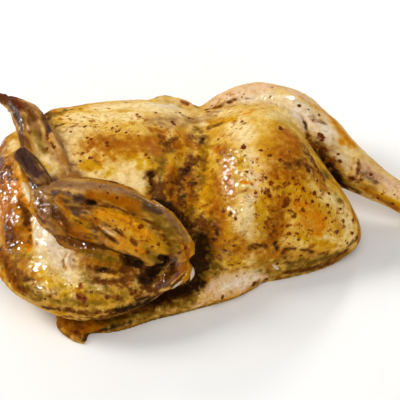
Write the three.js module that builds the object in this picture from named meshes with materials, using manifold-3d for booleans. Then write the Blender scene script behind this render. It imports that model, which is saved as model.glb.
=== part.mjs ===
// Half a roast chicken, lying on its cut side with the skin up, as one solid.
// Millimetres, +Z up. The neck end is at -X, the tail and the leg at +X, the back and the folded wing
// at -Y, and the breast bone at +Y. The flat underside is the cut through the middle of the bird.
import * as THREE from 'three';
import { ParametricGeometry } from 'three/addons/geometries/ParametricGeometry.js';
import { mergeVertices } from 'three/addons/utils/BufferGeometryUtils.js';
import Module from 'manifold-3d';

const wasm = await Module();
wasm.setup();

const up = [ 0, 0, 1 ];
const lengthwise = [ 1, 0, 0 ];
const wingFace = [ 0, - 0.669, 0.743 ]; // the folded wing lies flat against the shoulder, facing this way
const webFace = [ - 0.5, - 0.6, 0.6 ];

const tableLevel = 0;
const fleshSwell = 1.1; // how far the flesh swells and sinks under the skin
const coincident = 1e-4; // points closer than this are one point

// Every form is carried along a path. A row of its sections is the centre x, y, z, half the width and
// half the thickness there. `face` is the way the thickness points, `square` the exponent of the
// rounded section, `ends` how bluntly the two ends close, and `grid` the steps along and around it.
const forms = {

	trunk: { face: up, along: lengthwise, square: 2.15, ends: [ 5, 2.3 ], grid: [ 46, 38 ], sections: [
		[ - 126, 3, 15, 49, 43 ],
		[ - 101, 5, 13, 60.5, 49.5 ],
		[ - 75, 10, 12, 63, 51 ],
		[ - 49, 13, 12, 64, 51 ],
		[ - 24, 16, 12, 66, 51 ],
		[ 0, 16, 11, 57, 38 ],
		[ 24, 17, 13, 59, 54 ],
		[ 46, 14, 14, 55, 62 ],
		[ 67, 2.5, 14, 46.5, 54 ],
		[ 91, - 9.5, 12, 32, 38 ]
	] },

	drumstick: { face: up, square: 2, ends: [ 2.2, 4 ], grid: [ 32, 20 ], sections: [
		[ - 4, 58, 34, 15, 18 ],
		[ 24, 63, 40, 21, 24 ],
		[ 51, 56, 38, 20.5, 22 ],
		[ 72, 39, 30, 15, 16 ],
		[ 93, 27, 21, 11, 11 ],
		[ 112, 17, 15, 7.5, 7.5 ],
		[ 121, 13, 13, 11, 10.5 ],
		[ 129, 10, 12, 9, 8.5 ]
	] },

	upperArm: { face: wingFace, square: 2, ends: [ 2, 2.6 ], grid: [ 26, 20 ], sections: [
		[ - 114, - 32, 24, 16, 14 ],
		[ - 90, - 50, 27, 20, 18 ],
		[ - 60, - 61, 25, 18, 17 ],
		[ - 32, - 57, 26, 13.5, 12.5 ],
		[ - 6, - 43, 29, 11.5, 10 ]
	] },

	forearm: { face: wingFace, square: 2.2, ends: [ 2.6, 3.4 ], grid: [ 26, 22 ], sections: [
		[ - 4, - 45, 34, 13, 11 ],
		[ - 19, - 43, 43, 19, 11 ],
		[ - 46, - 36, 49, 21.5, 10 ],
		[ - 71, - 28, 52, 20, 9 ],
		[ - 92, - 17, 53, 14, 8 ]
	] },

	armRoll: { face: wingFace, square: 2, ends: [ 2, 2 ], grid: [ 14, 10 ], sections: [
		[ - 76, - 52, 36, 6, 5 ],
		[ - 58, - 52, 40, 6.5, 5.5 ],
		[ - 42, - 53, 39, 6, 5.5 ],
		[ - 26, - 54, 35, 5, 5 ]
	] },

	elbow: { face: wingFace, square: 2, ends: [ 2.2, 2.2 ], grid: [ 12, 12 ], sections: [
		[ - 26, - 60, 28, 6, 6 ],
		[ - 12, - 54, 27, 8, 8 ],
		[ - 5, - 44, 28, 9, 9 ]
	] },

	featherRidge: { face: wingFace, square: 2, ends: [ 2.4, 2.2 ], grid: [ 24, 10 ], sections: [
		[ - 82, - 12, 58, 4, 3.5 ],
		[ - 60, - 14, 58, 5, 4.5 ],
		[ - 40, - 20, 56, 5, 5 ],
		[ - 20, - 29, 50, 5, 5 ],
		[ - 6, - 38, 40, 6, 6 ]
	] },

	hand: { face: wingFace, square: 2, ends: [ 2.2, 2 ], grid: [ 22, 14 ], sections: [
		[ - 74, - 16, 56, 12, 8 ],
		[ - 80, - 1, 58, 13, 6.5 ],
		[ - 88, 14, 60, 12, 5.5 ],
		[ - 95, 29, 61, 8.5, 5 ],
		[ - 101, 43, 59, 6.5, 4.5 ],
		[ - 111, 54, 56, 4, 3.5 ],
		[ - 123, 62, 52, 2.6, 2.5 ]
	] },

	thumb: { face: wingFace, square: 2.4, ends: [ 2.2, 12 ], grid: [ 10, 10 ], sections: [
		[ - 82, - 18, 60, 6, 5 ],
		[ - 92, - 4, 62, 4.2, 4 ],
		[ - 99, 7, 63, 3.8, 3.5 ]
	] },

	wingWeb: { face: webFace, square: 2, ends: [ 2, 2 ], grid: [ 12, 12 ], sections: [
		[ - 88, - 12, 46, 12, 5 ],
		[ - 90, - 30, 38, 16, 5 ],
		[ - 84, - 46, 34, 20, 6 ]
	] },

	backSkin: { face: up, square: 2.4, ends: [ 3, 3 ], grid: [ 24, 14 ], sections: [
		[ - 80, - 52, 2, 14, 5 ],
		[ - 66, - 58, 2, 18, 5 ],
		[ - 40, - 55, 3, 14, 6 ],
		[ - 10, - 44, 4, 12, 9 ],
		[ 16, - 36, 5, 13, 13 ],
		[ 38, - 30, 4, 12, 12 ]
	] },

	neckFlap: { face: up, square: 2, ends: [ 2, 2.2 ], grid: [ 10, 10 ], sections: [
		[ - 73, - 58, 3, 12, 4 ],
		[ - 68, - 68, 2, 9, 3 ],
		[ - 62, - 79, 1, 4.5, 2 ]
	] }

};

// Crisp flecks of herb and pepper stuck to the skin.
const flecks = {
	count: 40,
	length: 3.4,
	width: 1.9,
	height: 1.1,
	lowest: 16, // none lie lower on the flanks than this
	seed: 7
};

// The value of a uniform cubic B-spline guided by the rows, at t from 0 to 1; it starts and ends on
// the end rows, and every column of a row is blended alike.
function splineRow( rows, t ) {

	const last = rows.length - 1;
	const at = Math.min( Math.max( t, 0 ), 1 ) * last;
	const i = Math.min( Math.floor( at ), last - 1 );
	const f = at - i;
	const before = ( k ) => rows[ 0 ][ k ] * 2 - rows[ 1 ][ k ];
	const after = ( k ) => rows[ last ][ k ] * 2 - rows[ last - 1 ][ k ];
	const value = ( j, k ) => ( j < 0 ? before( k ) : j > last ? after( k ) : rows[ j ][ k ] );
	const weights = [
		( 1 - f ) ** 3,
		3 * f ** 3 - 6 * f ** 2 + 4,
		- 3 * f ** 3 + 3 * f ** 2 + 3 * f + 1,
		f ** 3
	];
	return rows[ 0 ].map( ( _, k ) => weights.reduce( ( sum, w, j ) => sum + w * value( i - 1 + j, k ), 0 ) / 6 );

}

// Broad, shallow swells and hollows, from -1 to 1, that vary over a few centimetres.
function swellAt( p ) {

	const wave = Math.sin( p.x / 10 + 1.4 * Math.sin( p.y / 15 ) ) * Math.sin( p.y / 11 + p.z / 9 );
	return 0.6 * wave + 0.4 * Math.sin( p.x / 6 - p.z / 8 ) * Math.sin( p.y / 7 + 0.8 );

}

// The point of a form's surface at u along and v around it, both from 0 to 1.
function surfacePoint( form, u, v, target ) {

	const step = 1e-4;
	const t = 0.5 - 0.5 * Math.cos( Math.PI * u );
	const [ x, y, z, halfWidth, halfThickness ] = splineRow( form.sections, t );
	const ahead = splineRow( form.sections, Math.min( t + step, 1 ) );
	const behind = splineRow( form.sections, Math.max( t - step, 0 ) );
	const tangent = form.along
		? new THREE.Vector3( ...form.along )
		: new THREE.Vector3( ahead[ 0 ] - behind[ 0 ], ahead[ 1 ] - behind[ 1 ], ahead[ 2 ] - behind[ 2 ] ).normalize();
	const thick = new THREE.Vector3( ...form.face );
	thick.addScaledVector( tangent, - thick.dot( tangent ) ).normalize();
	const side = new THREE.Vector3().crossVectors( tangent, thick );

	const fromMiddle = 2 * t - 1;
	const blunt = form.ends[ fromMiddle < 0 ? 0 : 1 ];
	const closing = Math.sqrt( Math.max( 1 - Math.abs( fromMiddle ) ** blunt, 0 ) );
	const angle = 2 * Math.PI * v;
	const rounded = ( s ) => Math.sign( s ) * Math.abs( s ) ** ( 2 / form.square );

	target.set( x, y, z );
	target.addScaledVector( side, halfWidth * closing * rounded( Math.cos( angle ) ) );
	target.addScaledVector( thick, halfThickness * closing * rounded( Math.sin( angle ) ) );

	const outward = new THREE.Vector3( target.x - x, target.y - y, target.z - z ).normalize();
	target.addScaledVector( outward, fleshSwell * swellAt( target ) * closing );
	return target;

}

// A closed geometry becomes a solid: its coinciding points are merged and flat triangles dropped.
function toSolid( geometry ) {

	const bare = geometry.clone();
	bare.deleteAttribute( 'normal' );
	bare.deleteAttribute( 'uv' );
	const merged = mergeVertices( bare, coincident );
	const index = merged.index.array;
	const triVerts = [];
	for ( let i = 0; i < index.length; i += 3 ) {

		const [ a, b, c ] = [ index[ i ], index[ i + 1 ], index[ i + 2 ] ];
		if ( a !== b && b !== c && c !== a ) triVerts.push( a, b, c );

	}

	return new wasm.Manifold( new wasm.Mesh( {
		numProp: 3,
		vertProperties: new Float32Array( merged.attributes.position.array ),
		triVerts: new Uint32Array( triVerts )
	} ) );

}

function toGeometry( solid ) {

	const mesh = solid.getMesh();
	const geometry = new THREE.BufferGeometry();
	geometry.setAttribute( 'position', new THREE.BufferAttribute( new Float32Array( mesh.vertProperties ), 3 ) );
	geometry.setIndex( new THREE.BufferAttribute( new Uint32Array( mesh.triVerts ), 1 ) );
	return geometry;

}

function formSolid( form ) {

	const [ along, around ] = form.grid;
	const shape = ( u, v, target ) => surfacePoint( form, u, v, target );
	return toSolid( new ParametricGeometry( shape, along, around ) );

}

// A repeatable draw of numbers from 0 to 1.
function seededDraw( seed ) {

	let state = seed;
	return () => {

		state = ( state * 1664525 + 1013904223 ) % 4294967296;
		return state / 4294967296;

	};

}

// Flat six-sided flecks lie half sunk in the skin of the breast, thigh and drumstick.
function fleckSolids() {

	const draw = seededDraw( flecks.seed );
	const carriers = [ forms.trunk, forms.trunk, forms.trunk, forms.drumstick ];
	const step = 1e-3;
	const solids = [];
	while ( solids.length < flecks.count ) {

		const form = carriers[ Math.floor( draw() * carriers.length ) ];
		const [ u, v ] = [ 0.12 + 0.76 * draw(), 0.5 * draw() ];
		const [ size, turn ] = [ 0.7 + 0.5 * draw(), draw() * Math.PI ];
		const place = surfacePoint( form, u, v, new THREE.Vector3() );
		if ( place.z < flecks.lowest ) continue;

		const alongSkin = surfacePoint( form, u + step, v, new THREE.Vector3() ).sub( place ).normalize();
		const acrossSkin = surfacePoint( form, u, v + step, new THREE.Vector3() ).sub( place ).normalize();
		const normal = new THREE.Vector3().crossVectors( alongSkin, acrossSkin ).normalize();
		const fleck = new THREE.CylinderGeometry( 0.3, 0.5, 1, 6, 1 );
		fleck.rotateX( Math.PI / 2 );
		fleck.scale( flecks.length * size, flecks.width * size, flecks.height );
		fleck.rotateZ( turn );
		fleck.applyQuaternion( new THREE.Quaternion().setFromUnitVectors( new THREE.Vector3( ...up ), normal ) );
		fleck.translate( place.x, place.y, place.z );
		solids.push( toSolid( fleck ) );

	}

	return solids;

}

// All that would reach below the table is cut off flat: that is the cut side of the bird.
function belowTable() {

	const [ reach, depth ] = [ 600, 200 ];
	const block = new THREE.BoxGeometry( reach, reach, depth );
	block.translate( 0, 0, tableLevel - depth / 2 );
	return toSolid( block );

}

function makeChicken() {

	const pieces = [ ...Object.values( forms ).map( formSolid ), ...fleckSolids() ];
	const whole = pieces.reduce( ( joined, piece ) => joined.add( piece ) ).subtract( belowTable() );
	const largestFirst = whole.decompose().sort( ( a, b ) => b.volume() - a.volume() );
	const geometry = toGeometry( largestFirst[ 0 ] );

	geometry.computeBoundingBox();
	const middle = geometry.boundingBox.getCenter( new THREE.Vector3() );
	geometry.translate( - middle.x, - middle.y, - geometry.boundingBox.min.z );

	const skin = new THREE.MeshStandardMaterial( { color: 0xc8924a, roughness: 0.42, metalness: 0 } );
	const mesh = new THREE.Mesh( geometry, skin );
	mesh.name = 'chicken';
	return mesh;

}

const roastChicken = new THREE.Group();
roastChicken.add( makeChicken() );

export default roastChicken;
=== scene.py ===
import math

import bmesh
import bpy
import numpy as np
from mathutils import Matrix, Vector
from mathutils.bvhtree import BVHTree


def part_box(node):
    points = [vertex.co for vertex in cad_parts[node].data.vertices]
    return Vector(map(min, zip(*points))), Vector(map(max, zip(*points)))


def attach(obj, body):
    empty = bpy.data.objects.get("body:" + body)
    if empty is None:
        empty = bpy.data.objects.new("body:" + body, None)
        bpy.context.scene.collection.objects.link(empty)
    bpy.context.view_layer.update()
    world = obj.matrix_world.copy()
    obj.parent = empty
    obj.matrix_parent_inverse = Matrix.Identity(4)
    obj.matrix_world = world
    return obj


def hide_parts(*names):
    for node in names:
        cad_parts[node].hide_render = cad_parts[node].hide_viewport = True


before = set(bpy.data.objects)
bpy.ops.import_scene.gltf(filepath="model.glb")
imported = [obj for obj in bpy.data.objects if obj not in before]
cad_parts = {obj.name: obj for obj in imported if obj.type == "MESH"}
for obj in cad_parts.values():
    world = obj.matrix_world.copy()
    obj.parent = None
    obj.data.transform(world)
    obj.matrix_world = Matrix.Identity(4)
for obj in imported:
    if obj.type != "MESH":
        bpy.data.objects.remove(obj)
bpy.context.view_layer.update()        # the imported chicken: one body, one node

mm = 0.001               # every size below is in millimetres, and Blender's own unit is the metre
tiny = 1e-9              # keeps divisions away from nought
print("stage: frame loaded")

# the camera, in the bird's own frame before it is centred
view = {
    "elevation": 48,         # degrees above the table
    "distance": 900,
    "lookAt": (0, 0, 30),
    "mmPerPixel": 0.56,      # at the point looked at
    "picture": 400,          # pixels along each side
    "sensor": 36,
}
tilt = math.radians(view["elevation"])
forward = np.array([0, math.cos(tilt), -math.sin(tilt)])
rightward = np.array([1.0, 0, 0])
upward = np.cross(rightward, forward)
eye = np.array(view["lookAt"]) - forward * view["distance"]

# the forms of the bird: rows are the centre x, y, z, half the width and half the thickness, at
# stations along the form
wingFace = (0, -0.669, 0.743)
forms = {
    "trunk": {"face": (0, 0, 1), "along": (1, 0, 0), "square": 2.15, "ends": (5, 2.3), "rows": [
        (-126, 3, 15, 49, 43), (-101, 5, 13, 60.5, 49.5), (-75, 10, 12, 63, 51), (-49, 13, 12, 64, 51),
        (-24, 16, 12, 66, 51), (0, 16, 11, 57, 38), (24, 17, 13, 59, 54), (46, 14, 14, 55, 62),
        (67, 2.5, 14, 46.5, 54), (91, -9.5, 12, 32, 38)]},
    "drumstick": {"face": (0, 0, 1), "square": 2, "ends": (2.2, 4), "rows": [
        (-4, 58, 34, 15, 18), (24, 63, 40, 21, 24), (51, 56, 38, 20.5, 22), (72, 39, 30, 15, 16),
        (93, 27, 21, 11, 11), (112, 17, 15, 7.5, 7.5), (121, 13, 13, 11, 10.5), (129, 10, 12, 9, 8.5)]},
    "upperArm": {"face": wingFace, "square": 2, "ends": (2, 2.6), "rows": [
        (-114, -32, 24, 16, 14), (-90, -50, 27, 20, 18), (-60, -61, 25, 18, 17),
        (-32, -57, 26, 13.5, 12.5), (-6, -43, 29, 11.5, 10)]},
    "forearm": {"face": wingFace, "square": 2.2, "ends": (2.6, 3.4), "rows": [
        (-4, -45, 34, 13, 11), (-19, -43, 43, 19, 11), (-46, -36, 49, 21.5, 10),
        (-71, -28, 52, 20, 9), (-92, -17, 53, 14, 8)]},
    "armRoll": {"face": wingFace, "square": 2, "ends": (2, 2), "rows": [
        (-76, -52, 36, 6, 5), (-58, -52, 40, 6.5, 5.5), (-42, -53, 39, 6, 5.5), (-26, -54, 35, 5, 5)]},
    "elbow": {"face": wingFace, "square": 2, "ends": (2.2, 2.2), "rows": [
        (-26, -60, 28, 6, 6), (-12, -54, 27, 8, 8), (-5, -44, 28, 9, 9)]},
    "featherRidge": {"face": wingFace, "square": 2, "ends": (2.4, 2.2), "rows": [
        (-82, -12, 58, 4, 3.5), (-60, -14, 58, 5, 4.5), (-40, -20, 56, 5, 5), (-20, -29, 50, 5, 5),
        (-6, -38, 40, 6, 6)]},
    "hand": {"face": wingFace, "square": 2, "ends": (2.2, 2), "rows": [
        (-74, -16, 56, 12, 8), (-80, -1, 58, 13, 6.5), (-88, 14, 60, 12, 5.5), (-95, 29, 61, 8.5, 5),
        (-101, 43, 59, 6.5, 4.5), (-111, 54, 56, 4, 3.5), (-123, 62, 52, 2.6, 2.5)]},
    "thumb": {"face": wingFace, "square": 2.4, "ends": (2.2, 12), "rows": [
        (-82, -18, 60, 6, 5), (-92, -4, 62, 4.2, 4), (-99, 7, 63, 3.8, 3.5)]},
    "wingWeb": {"face": (-0.5, -0.6, 0.6), "square": 2, "ends": (2, 2), "rows": [
        (-88, -12, 46, 12, 5), (-90, -30, 38, 16, 5), (-84, -46, 34, 20, 6)]},
    "backSkin": {"face": (0, 0, 1), "square": 2.4, "ends": (3, 3), "rows": [
        (-80, -52, 2, 14, 5), (-66, -58, 2, 18, 5), (-40, -55, 3, 14, 6), (-10, -44, 4, 12, 9),
        (16, -36, 5, 13, 13), (38, -30, 4, 12, 12)]},
    "neckFlap": {"face": (0, 0, 1), "square": 2, "ends": (2, 2.2), "rows": [
        (-73, -58, 3, 12, 4), (-68, -68, 2, 9, 3), (-62, -79, 1, 4.5, 2)]},
}
slivers = {                  # white ends of gristle that stand out of the skin
    "elbowSliver": {"face": (0.4, -0.6, 0.6), "square": 2, "ends": (1.6, 1.8), "rows": [
        (-4.8, -45.5, 28.2, 0.7, 0.7), (-4.0, -48.3, 27, 1.5, 0.9), (-4.2, -51, 25.5, 1.3, 0.9),
        (-5.4, -53.6, 24, 0.6, 0.6)]},
    "armSliver": {"face": (0.2, -0.7, 0.6), "square": 2, "ends": (1.6, 1.6), "rows": [
        (-9.0, -53.6, 25.4, 0.6, 0.6), (-12.2, -56.8, 25.2, 0.9, 0.7), (-15.6, -59.8, 24.6, 0.5, 0.5)]},
    "rumpSliver": {"face": (0, -0.7, 0.7), "square": 2, "ends": (1.8, 1.8), "rows": [
        (39.9, -35.4, 16.4, 0.8, 0.7), (41.7, -35.7, 14.1, 1.2, 0.9), (43.9, -35.0, 11.2, 0.7, 0.6)]},
}

# the skins that the forms are fused into, the grain of the fused surface in mm, and how often it is
# smoothed
skins = {
    "birdSkin": {"forms": ("trunk", "drumstick", "upperArm", "armRoll", "wingWeb", "backSkin", "neckFlap"),
                 "voxel": 0.98, "rounds": 10},
    "wingSkin": {"forms": ("forearm", "featherRidge", "elbow"), "voxel": 0.62, "rounds": 10},
    "wingTip": {"forms": ("hand", "thumb"), "voxel": 0.5, "rounds": 5},
    "gristle": {"forms": ("elbowSliver", "armSliver", "rumpSliver"), "voxel": 0.3, "rounds": 2},
}
fusing = {
    "steps": (150, 120),     # along and around each form, before they are fused
    "sliverSteps": (40, 24),  # the same for the slivers of gristle
    "swell": 1.1,            # slow swells of the flesh
    "underside": 0.1,        # how much of the part below the table is kept while fusing
    "foot": 0.6,             # points lower than this are set on the table
    "share": 0.6,            # how far each smoothing round moves a point towards its neighbours
    "bubble": 50,            # a part of fewer points than this is a bubble left by the remesh
}


# Rows of vectors, each made one long.
def unit(vectors):
    return vectors / np.linalg.norm(vectors, axis=-1, keepdims=True)


# A uniform cubic B-spline guided by the rows: four neighbouring rows, each times its cubic weight,
# over six. The row before the first and the one after the last are mirrored, so it ends on them.
def splineRows(rows, t):
    p = np.asarray(rows, float)
    last = len(p) - 1
    q = np.vstack([2 * p[0] - p[1], p, 2 * p[-1] - p[-2]])
    at = np.clip(t, 0, 1) * last
    i = np.minimum(at.astype(int), last - 1)
    f = (at - i)[:, None]
    return ((1 - f) ** 3 * q[i] + (3 * f ** 3 - 6 * f ** 2 + 4) * q[i + 1]
            + (-3 * f ** 3 + 3 * f ** 2 + 3 * f + 1) * q[i + 2] + f ** 3 * q[i + 3]) / 6


# Broad shallow swells from -1 to 1: products of sines of the place, bent by a slower sine.
def swellAt(p):
    x, y, z = p[..., 0], p[..., 1], p[..., 2]
    wave = np.sin(x / 10 + 1.4 * np.sin(y / 15)) * np.sin(y / 11 + z / 9)
    return 0.6 * wave + 0.4 * np.sin(x / 6 - z / 8) * np.sin(y / 7 + 0.8)


# The frame carried along a form at t from 0 to 1: centres, the way its width points, the way its
# thickness points, the two half sizes, and how far it has closed: sqrt(1 - |2t - 1| ** blunt).
def carriedFrame(form, t):
    rows = splineRows(form["rows"], t)
    step = 1e-4
    tangent = (splineRows(form["rows"], t + step) - splineRows(form["rows"], t - step))[:, :3]
    if "along" in form:
        tangent = np.tile(np.array(form["along"], float), (len(t), 1))
    tangent = unit(tangent)
    face = np.array(form["face"], float)
    thick = unit(face - (tangent @ face)[:, None] * tangent)
    fromMiddle = 2 * t - 1
    blunt = np.where(fromMiddle < 0, *form["ends"])
    closing = np.sqrt(np.clip(1 - np.abs(fromMiddle) ** blunt, 0, 1))
    return rows[:, :3], np.cross(tangent, thick), thick, rows[:, 3], rows[:, 4], closing


# A form's surface on a grid: centre + width * sgn(cos) |cos| ** (2 / square) + thickness * the same
# of the sine, with t = (1 - cos(pi u)) / 2 along it so that the ends get the finest steps.
def formGrid(form, along, around, swell):
    t = 0.5 - 0.5 * np.cos(np.pi * np.linspace(0, 1, along))
    centre, side, thick, halfWidth, halfThick, closing = carriedFrame(form, t)
    angle = np.linspace(0, 2 * np.pi, around, endpoint=False)
    power = 2 / form["square"]
    c = np.sign(np.cos(angle)) * np.abs(np.cos(angle)) ** power
    s = np.sign(np.sin(angle)) * np.abs(np.sin(angle)) ** power
    offset = (side[:, None] * (halfWidth * closing)[:, None, None] * c[None, :, None]
              + thick[:, None] * (halfThick * closing)[:, None, None] * s[None, :, None])
    points = centre[:, None] + offset
    outward = offset / np.maximum(np.linalg.norm(offset, axis=2, keepdims=True), tiny)
    return points + outward * (swell * swellAt(points) * closing[:, None])[..., None]


# Quads of a grid that is closed around and open along, in the order that faces outwards.
def tubeFaces(along, around, first=0):
    i, j = np.meshgrid(np.arange(along - 1), np.arange(around), indexing="ij")
    k = (j + 1) % around
    quads = np.stack([i * around + j, (i + 1) * around + j, (i + 1) * around + k, i * around + k], -1)
    return quads.reshape(-1, 4) + first


# A new object in the scene, made of a mesh, a lamp or a lens.
def placed(name, data):
    piece = bpy.data.objects.new(name, data)
    bpy.context.scene.collection.objects.link(piece)
    return piece


# A mesh object from whole arrays: points in mm in the bird's frame, faces as rows of equal length.
def meshPiece(name, points, faces):
    mesh = bpy.data.meshes.new(name)
    mesh.vertices.add(len(points))
    mesh.vertices.foreach_set("co", ((points + shift) * mm).astype(np.float32).ravel())
    mesh.loops.add(faces.size)
    mesh.loops.foreach_set("vertex_index", faces.astype(np.int32).ravel())
    mesh.polygons.add(len(faces))
    mesh.polygons.foreach_set("loop_start", np.arange(len(faces), dtype=np.int32) * faces.shape[1])
    mesh.update(calc_edges=True)
    mesh.validate()
    mesh.shade_smooth()
    return placed(name, mesh)


# Values stored in a mesh, one or a row for each point.
def storeValues(mesh, name, values):
    vector = values.ndim == 2
    attribute = mesh.attributes.new(name, "FLOAT_VECTOR" if vector else "FLOAT", "POINT")
    attribute.data.foreach_set("vector" if vector else "value", values.astype(np.float32).ravel())


grids = {name: formGrid(form, *fusing["steps"], fusing["swell"]) for name, form in forms.items()}
shown = np.concatenate([g.reshape(-1, 3) for g in grids.values()])
shown = shown[shown[:, 2] >= 0]
cadLow, cadHigh = (np.array(c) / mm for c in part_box("chicken"))
shift = (cadLow + cadHigh) / 2 - (shown.min(0) + shown.max(0)) / 2     # the same centring as the CAD
shift[2] = 0
grids.update({name: formGrid(form, *fusing["sliverSteps"], 0) for name, form in slivers.items()})
print("stage: forms laid out, shift", shift.round(2), "sizes", (shown.max(0) - shown.min(0)).round(1))


# One property of all points, edges or corners of a mesh, as rows of numbers.
def readRows(items, key, width, kind=np.float32):
    values = np.empty(len(items) * width, kind)
    items.foreach_get(key, values)
    return values.reshape(-1, width)


# Every point takes the lowest number along its edges until none changes, which numbers the parts
# of a mesh. The parts with too few points are dropped.
def dropBubbles(mesh):
    a, b = readRows(mesh.edges, "vertices", 2, np.int32).T
    part = np.arange(len(mesh.vertices))
    while (part[a] != part[b]).any():
        lowest = np.minimum(part[a], part[b])
        np.minimum.at(part, a, lowest)
        np.minimum.at(part, b, lowest)
        part = part[part]
    bubbles = np.flatnonzero(np.bincount(part)[part] < fusing["bubble"])
    if len(bubbles):
        edit = bmesh.new()
        edit.from_mesh(mesh)
        edit.verts.ensure_lookup_table()
        bmesh.ops.delete(edit, geom=[edit.verts[i] for i in bubbles], context="VERTS")
        edit.to_mesh(mesh)
        edit.free()


# Several forms fused into one closed surface by a voxel remesh, with the part below the table
# squeezed almost flat before and lifted to it afterwards.
def fusedPiece(name, skin):
    points, faces = np.zeros((0, 3)), np.zeros((0, 4), int)
    for part in skin["forms"]:
        along, around = grids[part].shape[:2]
        faces = np.vstack([faces, tubeFaces(along, around, len(points))])
        points = np.vstack([points, grids[part].reshape(-1, 3)])
    points[:, 2] *= np.where(points[:, 2] < 0, fusing["underside"], 1)
    piece = meshPiece(name, points, faces)
    fuse = piece.modifiers.new("fuse", "REMESH")
    fuse.mode = "VOXEL"
    fuse.voxel_size = skin["voxel"] * mm
    fused = bpy.data.meshes.new_from_object(piece.evaluated_get(bpy.context.evaluated_depsgraph_get()))
    piece.modifiers.clear()
    rough = piece.data
    piece.data = fused
    bpy.data.meshes.remove(rough)
    fused.name = name
    dropBubbles(fused)
    return piece


# The mean of each point's neighbours, for one value or a row of values per point.
def neighbourMean(skin, values):
    if values.ndim == 2:
        return np.stack([neighbourMean(skin, values[:, k]) for k in range(values.shape[1])], 1)
    a, b = skin["edges"].T
    count = len(values)
    return (np.bincount(a, values[b], count) + np.bincount(b, values[a], count)) / skin["neighbours"]


# Smoothed values: in each round, value + share * (mean of the neighbours - value).
def relaxed(skin, values, rounds):
    for _ in range(rounds):
        values = values + fusing["share"] * (neighbourMean(skin, values) - values)
    return values


# Puts the points into the mesh, none of them below the table, and reads the normals again.
def setPoints(skin, points):
    points[:, 2] = np.maximum(points[:, 2], 0)
    skin["points"] = points
    skin["mesh"].vertices.foreach_set("co", ((points + shift) * mm).astype(np.float32).ravel())
    skin["mesh"].update()
    skin["normals"] = readRows(skin["mesh"].vertex_normals, "vector", 3).astype(float)


for name, skin in skins.items():
    skin["piece"] = fusedPiece(name, skin)
    skin["mesh"] = skin["piece"].data
    skin["edges"] = readRows(skin["mesh"].edges, "vertices", 2, np.int32)
    skin["faces"] = readRows(skin["mesh"].loops, "vertex_index", 1, np.int32).reshape(-1, 4)
    points = readRows(skin["mesh"].vertices, "co", 3).astype(float) / mm - shift
    skin["neighbours"] = np.bincount(skin["edges"].ravel(), minlength=len(points))
    onTable = points[:, 2] < fusing["foot"]
    points = relaxed(skin, points, skin["rounds"])
    points[onTable, 2] = 0
    setPoints(skin, points)
    print("stage:", name, "fused,", len(skin["faces"]) * 2, "triangles")

noiseCells = 32              # cells of the lattice each way
seedStep = 7.31              # how many cells apart two seeds lie
lattice = np.random.default_rng(5).random((noiseCells,) * 3) * 2 - 1


# Random values on a lattice, blended between the eight corners of a cell by 3f^2 - 2f^3 each way.
def softNoise(p, size, seed=0.0):
    q = p / size + seed * seedStep
    cell = np.floor(q).astype(int)
    f = q - cell
    f = f * f * (3 - 2 * f)
    total = np.zeros(len(p))
    for x in (0, 1):
        for y in (0, 1):
            for z in (0, 1):
                weight = np.abs(1 - x - f[:, 0]) * np.abs(1 - y - f[:, 1]) * np.abs(1 - z - f[:, 2])
                corner = (cell + (x, y, z)) % noiseCells
                total += weight * lattice[corner[:, 0], corner[:, 1], corner[:, 2]]
    return total


# Three soft noises added, each half as wide and half as strong as the one before, over 1.75.
def cloudNoise(p, size, seed=0.0):
    return sum(softNoise(p, size / 2 ** k, seed + k) / 2 ** k for k in range(3)) / 1.75


# 0 below low, 1 above high, and 3s^2 - 2s^3 between them; low may be the larger.
def ease(value, low, high):
    s = np.clip((value - low) / (high - low), 0, 1)
    return s * s * (3 - 2 * s)


# all skins as one, to find what the camera sees
allPoints, allFaces = np.zeros((0, 3)), np.zeros((0, 4), int)
for skin in skins.values():
    allFaces = np.vstack([allFaces, skin["faces"] + len(allPoints)])
    allPoints = np.vstack([allPoints, skin["points"]])
seenTree = BVHTree.FromPolygons(allPoints.tolist(), allFaces.tolist())


# The skin's point that the main camera sees at x, y of its picture, or None off the bird.
def seenAt(x, y):
    across, down = ((v - view["picture"] / 2) * view["mmPerPixel"] / view["distance"] for v in (x, y))
    ray = forward + rightward * across - upward * down
    return seenTree.ray_cast(Vector(eye), Vector(ray).normalized())[0]


strokes = {
    "step": 5,               # pixels between two points of a laid line
    "leap": 14,              # a longer step in mm crosses a gap between two forms, and is left out
    "reach": 2.6,            # radii from a line beyond which it isn't felt
    "early": 0.25,           # the share of its taper that a line starts above nought
}


# A line through dots of the picture, laid on the skin in short steps.
def laidLine(dots):
    picture = np.array(dots, float).reshape(-1, 2)
    lengths = np.hypot(*np.diff(picture, axis=0).T)
    along = np.concatenate([[0], np.cumsum(lengths)])
    at = np.linspace(0, along[-1], int(along[-1] / strokes["step"]) + 2)
    laid = [seenAt(np.interp(a, along, picture[:, 0]), np.interp(a, along, picture[:, 1])) for a in at]
    return np.array([list(p) for p in laid if p is not None])


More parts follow.
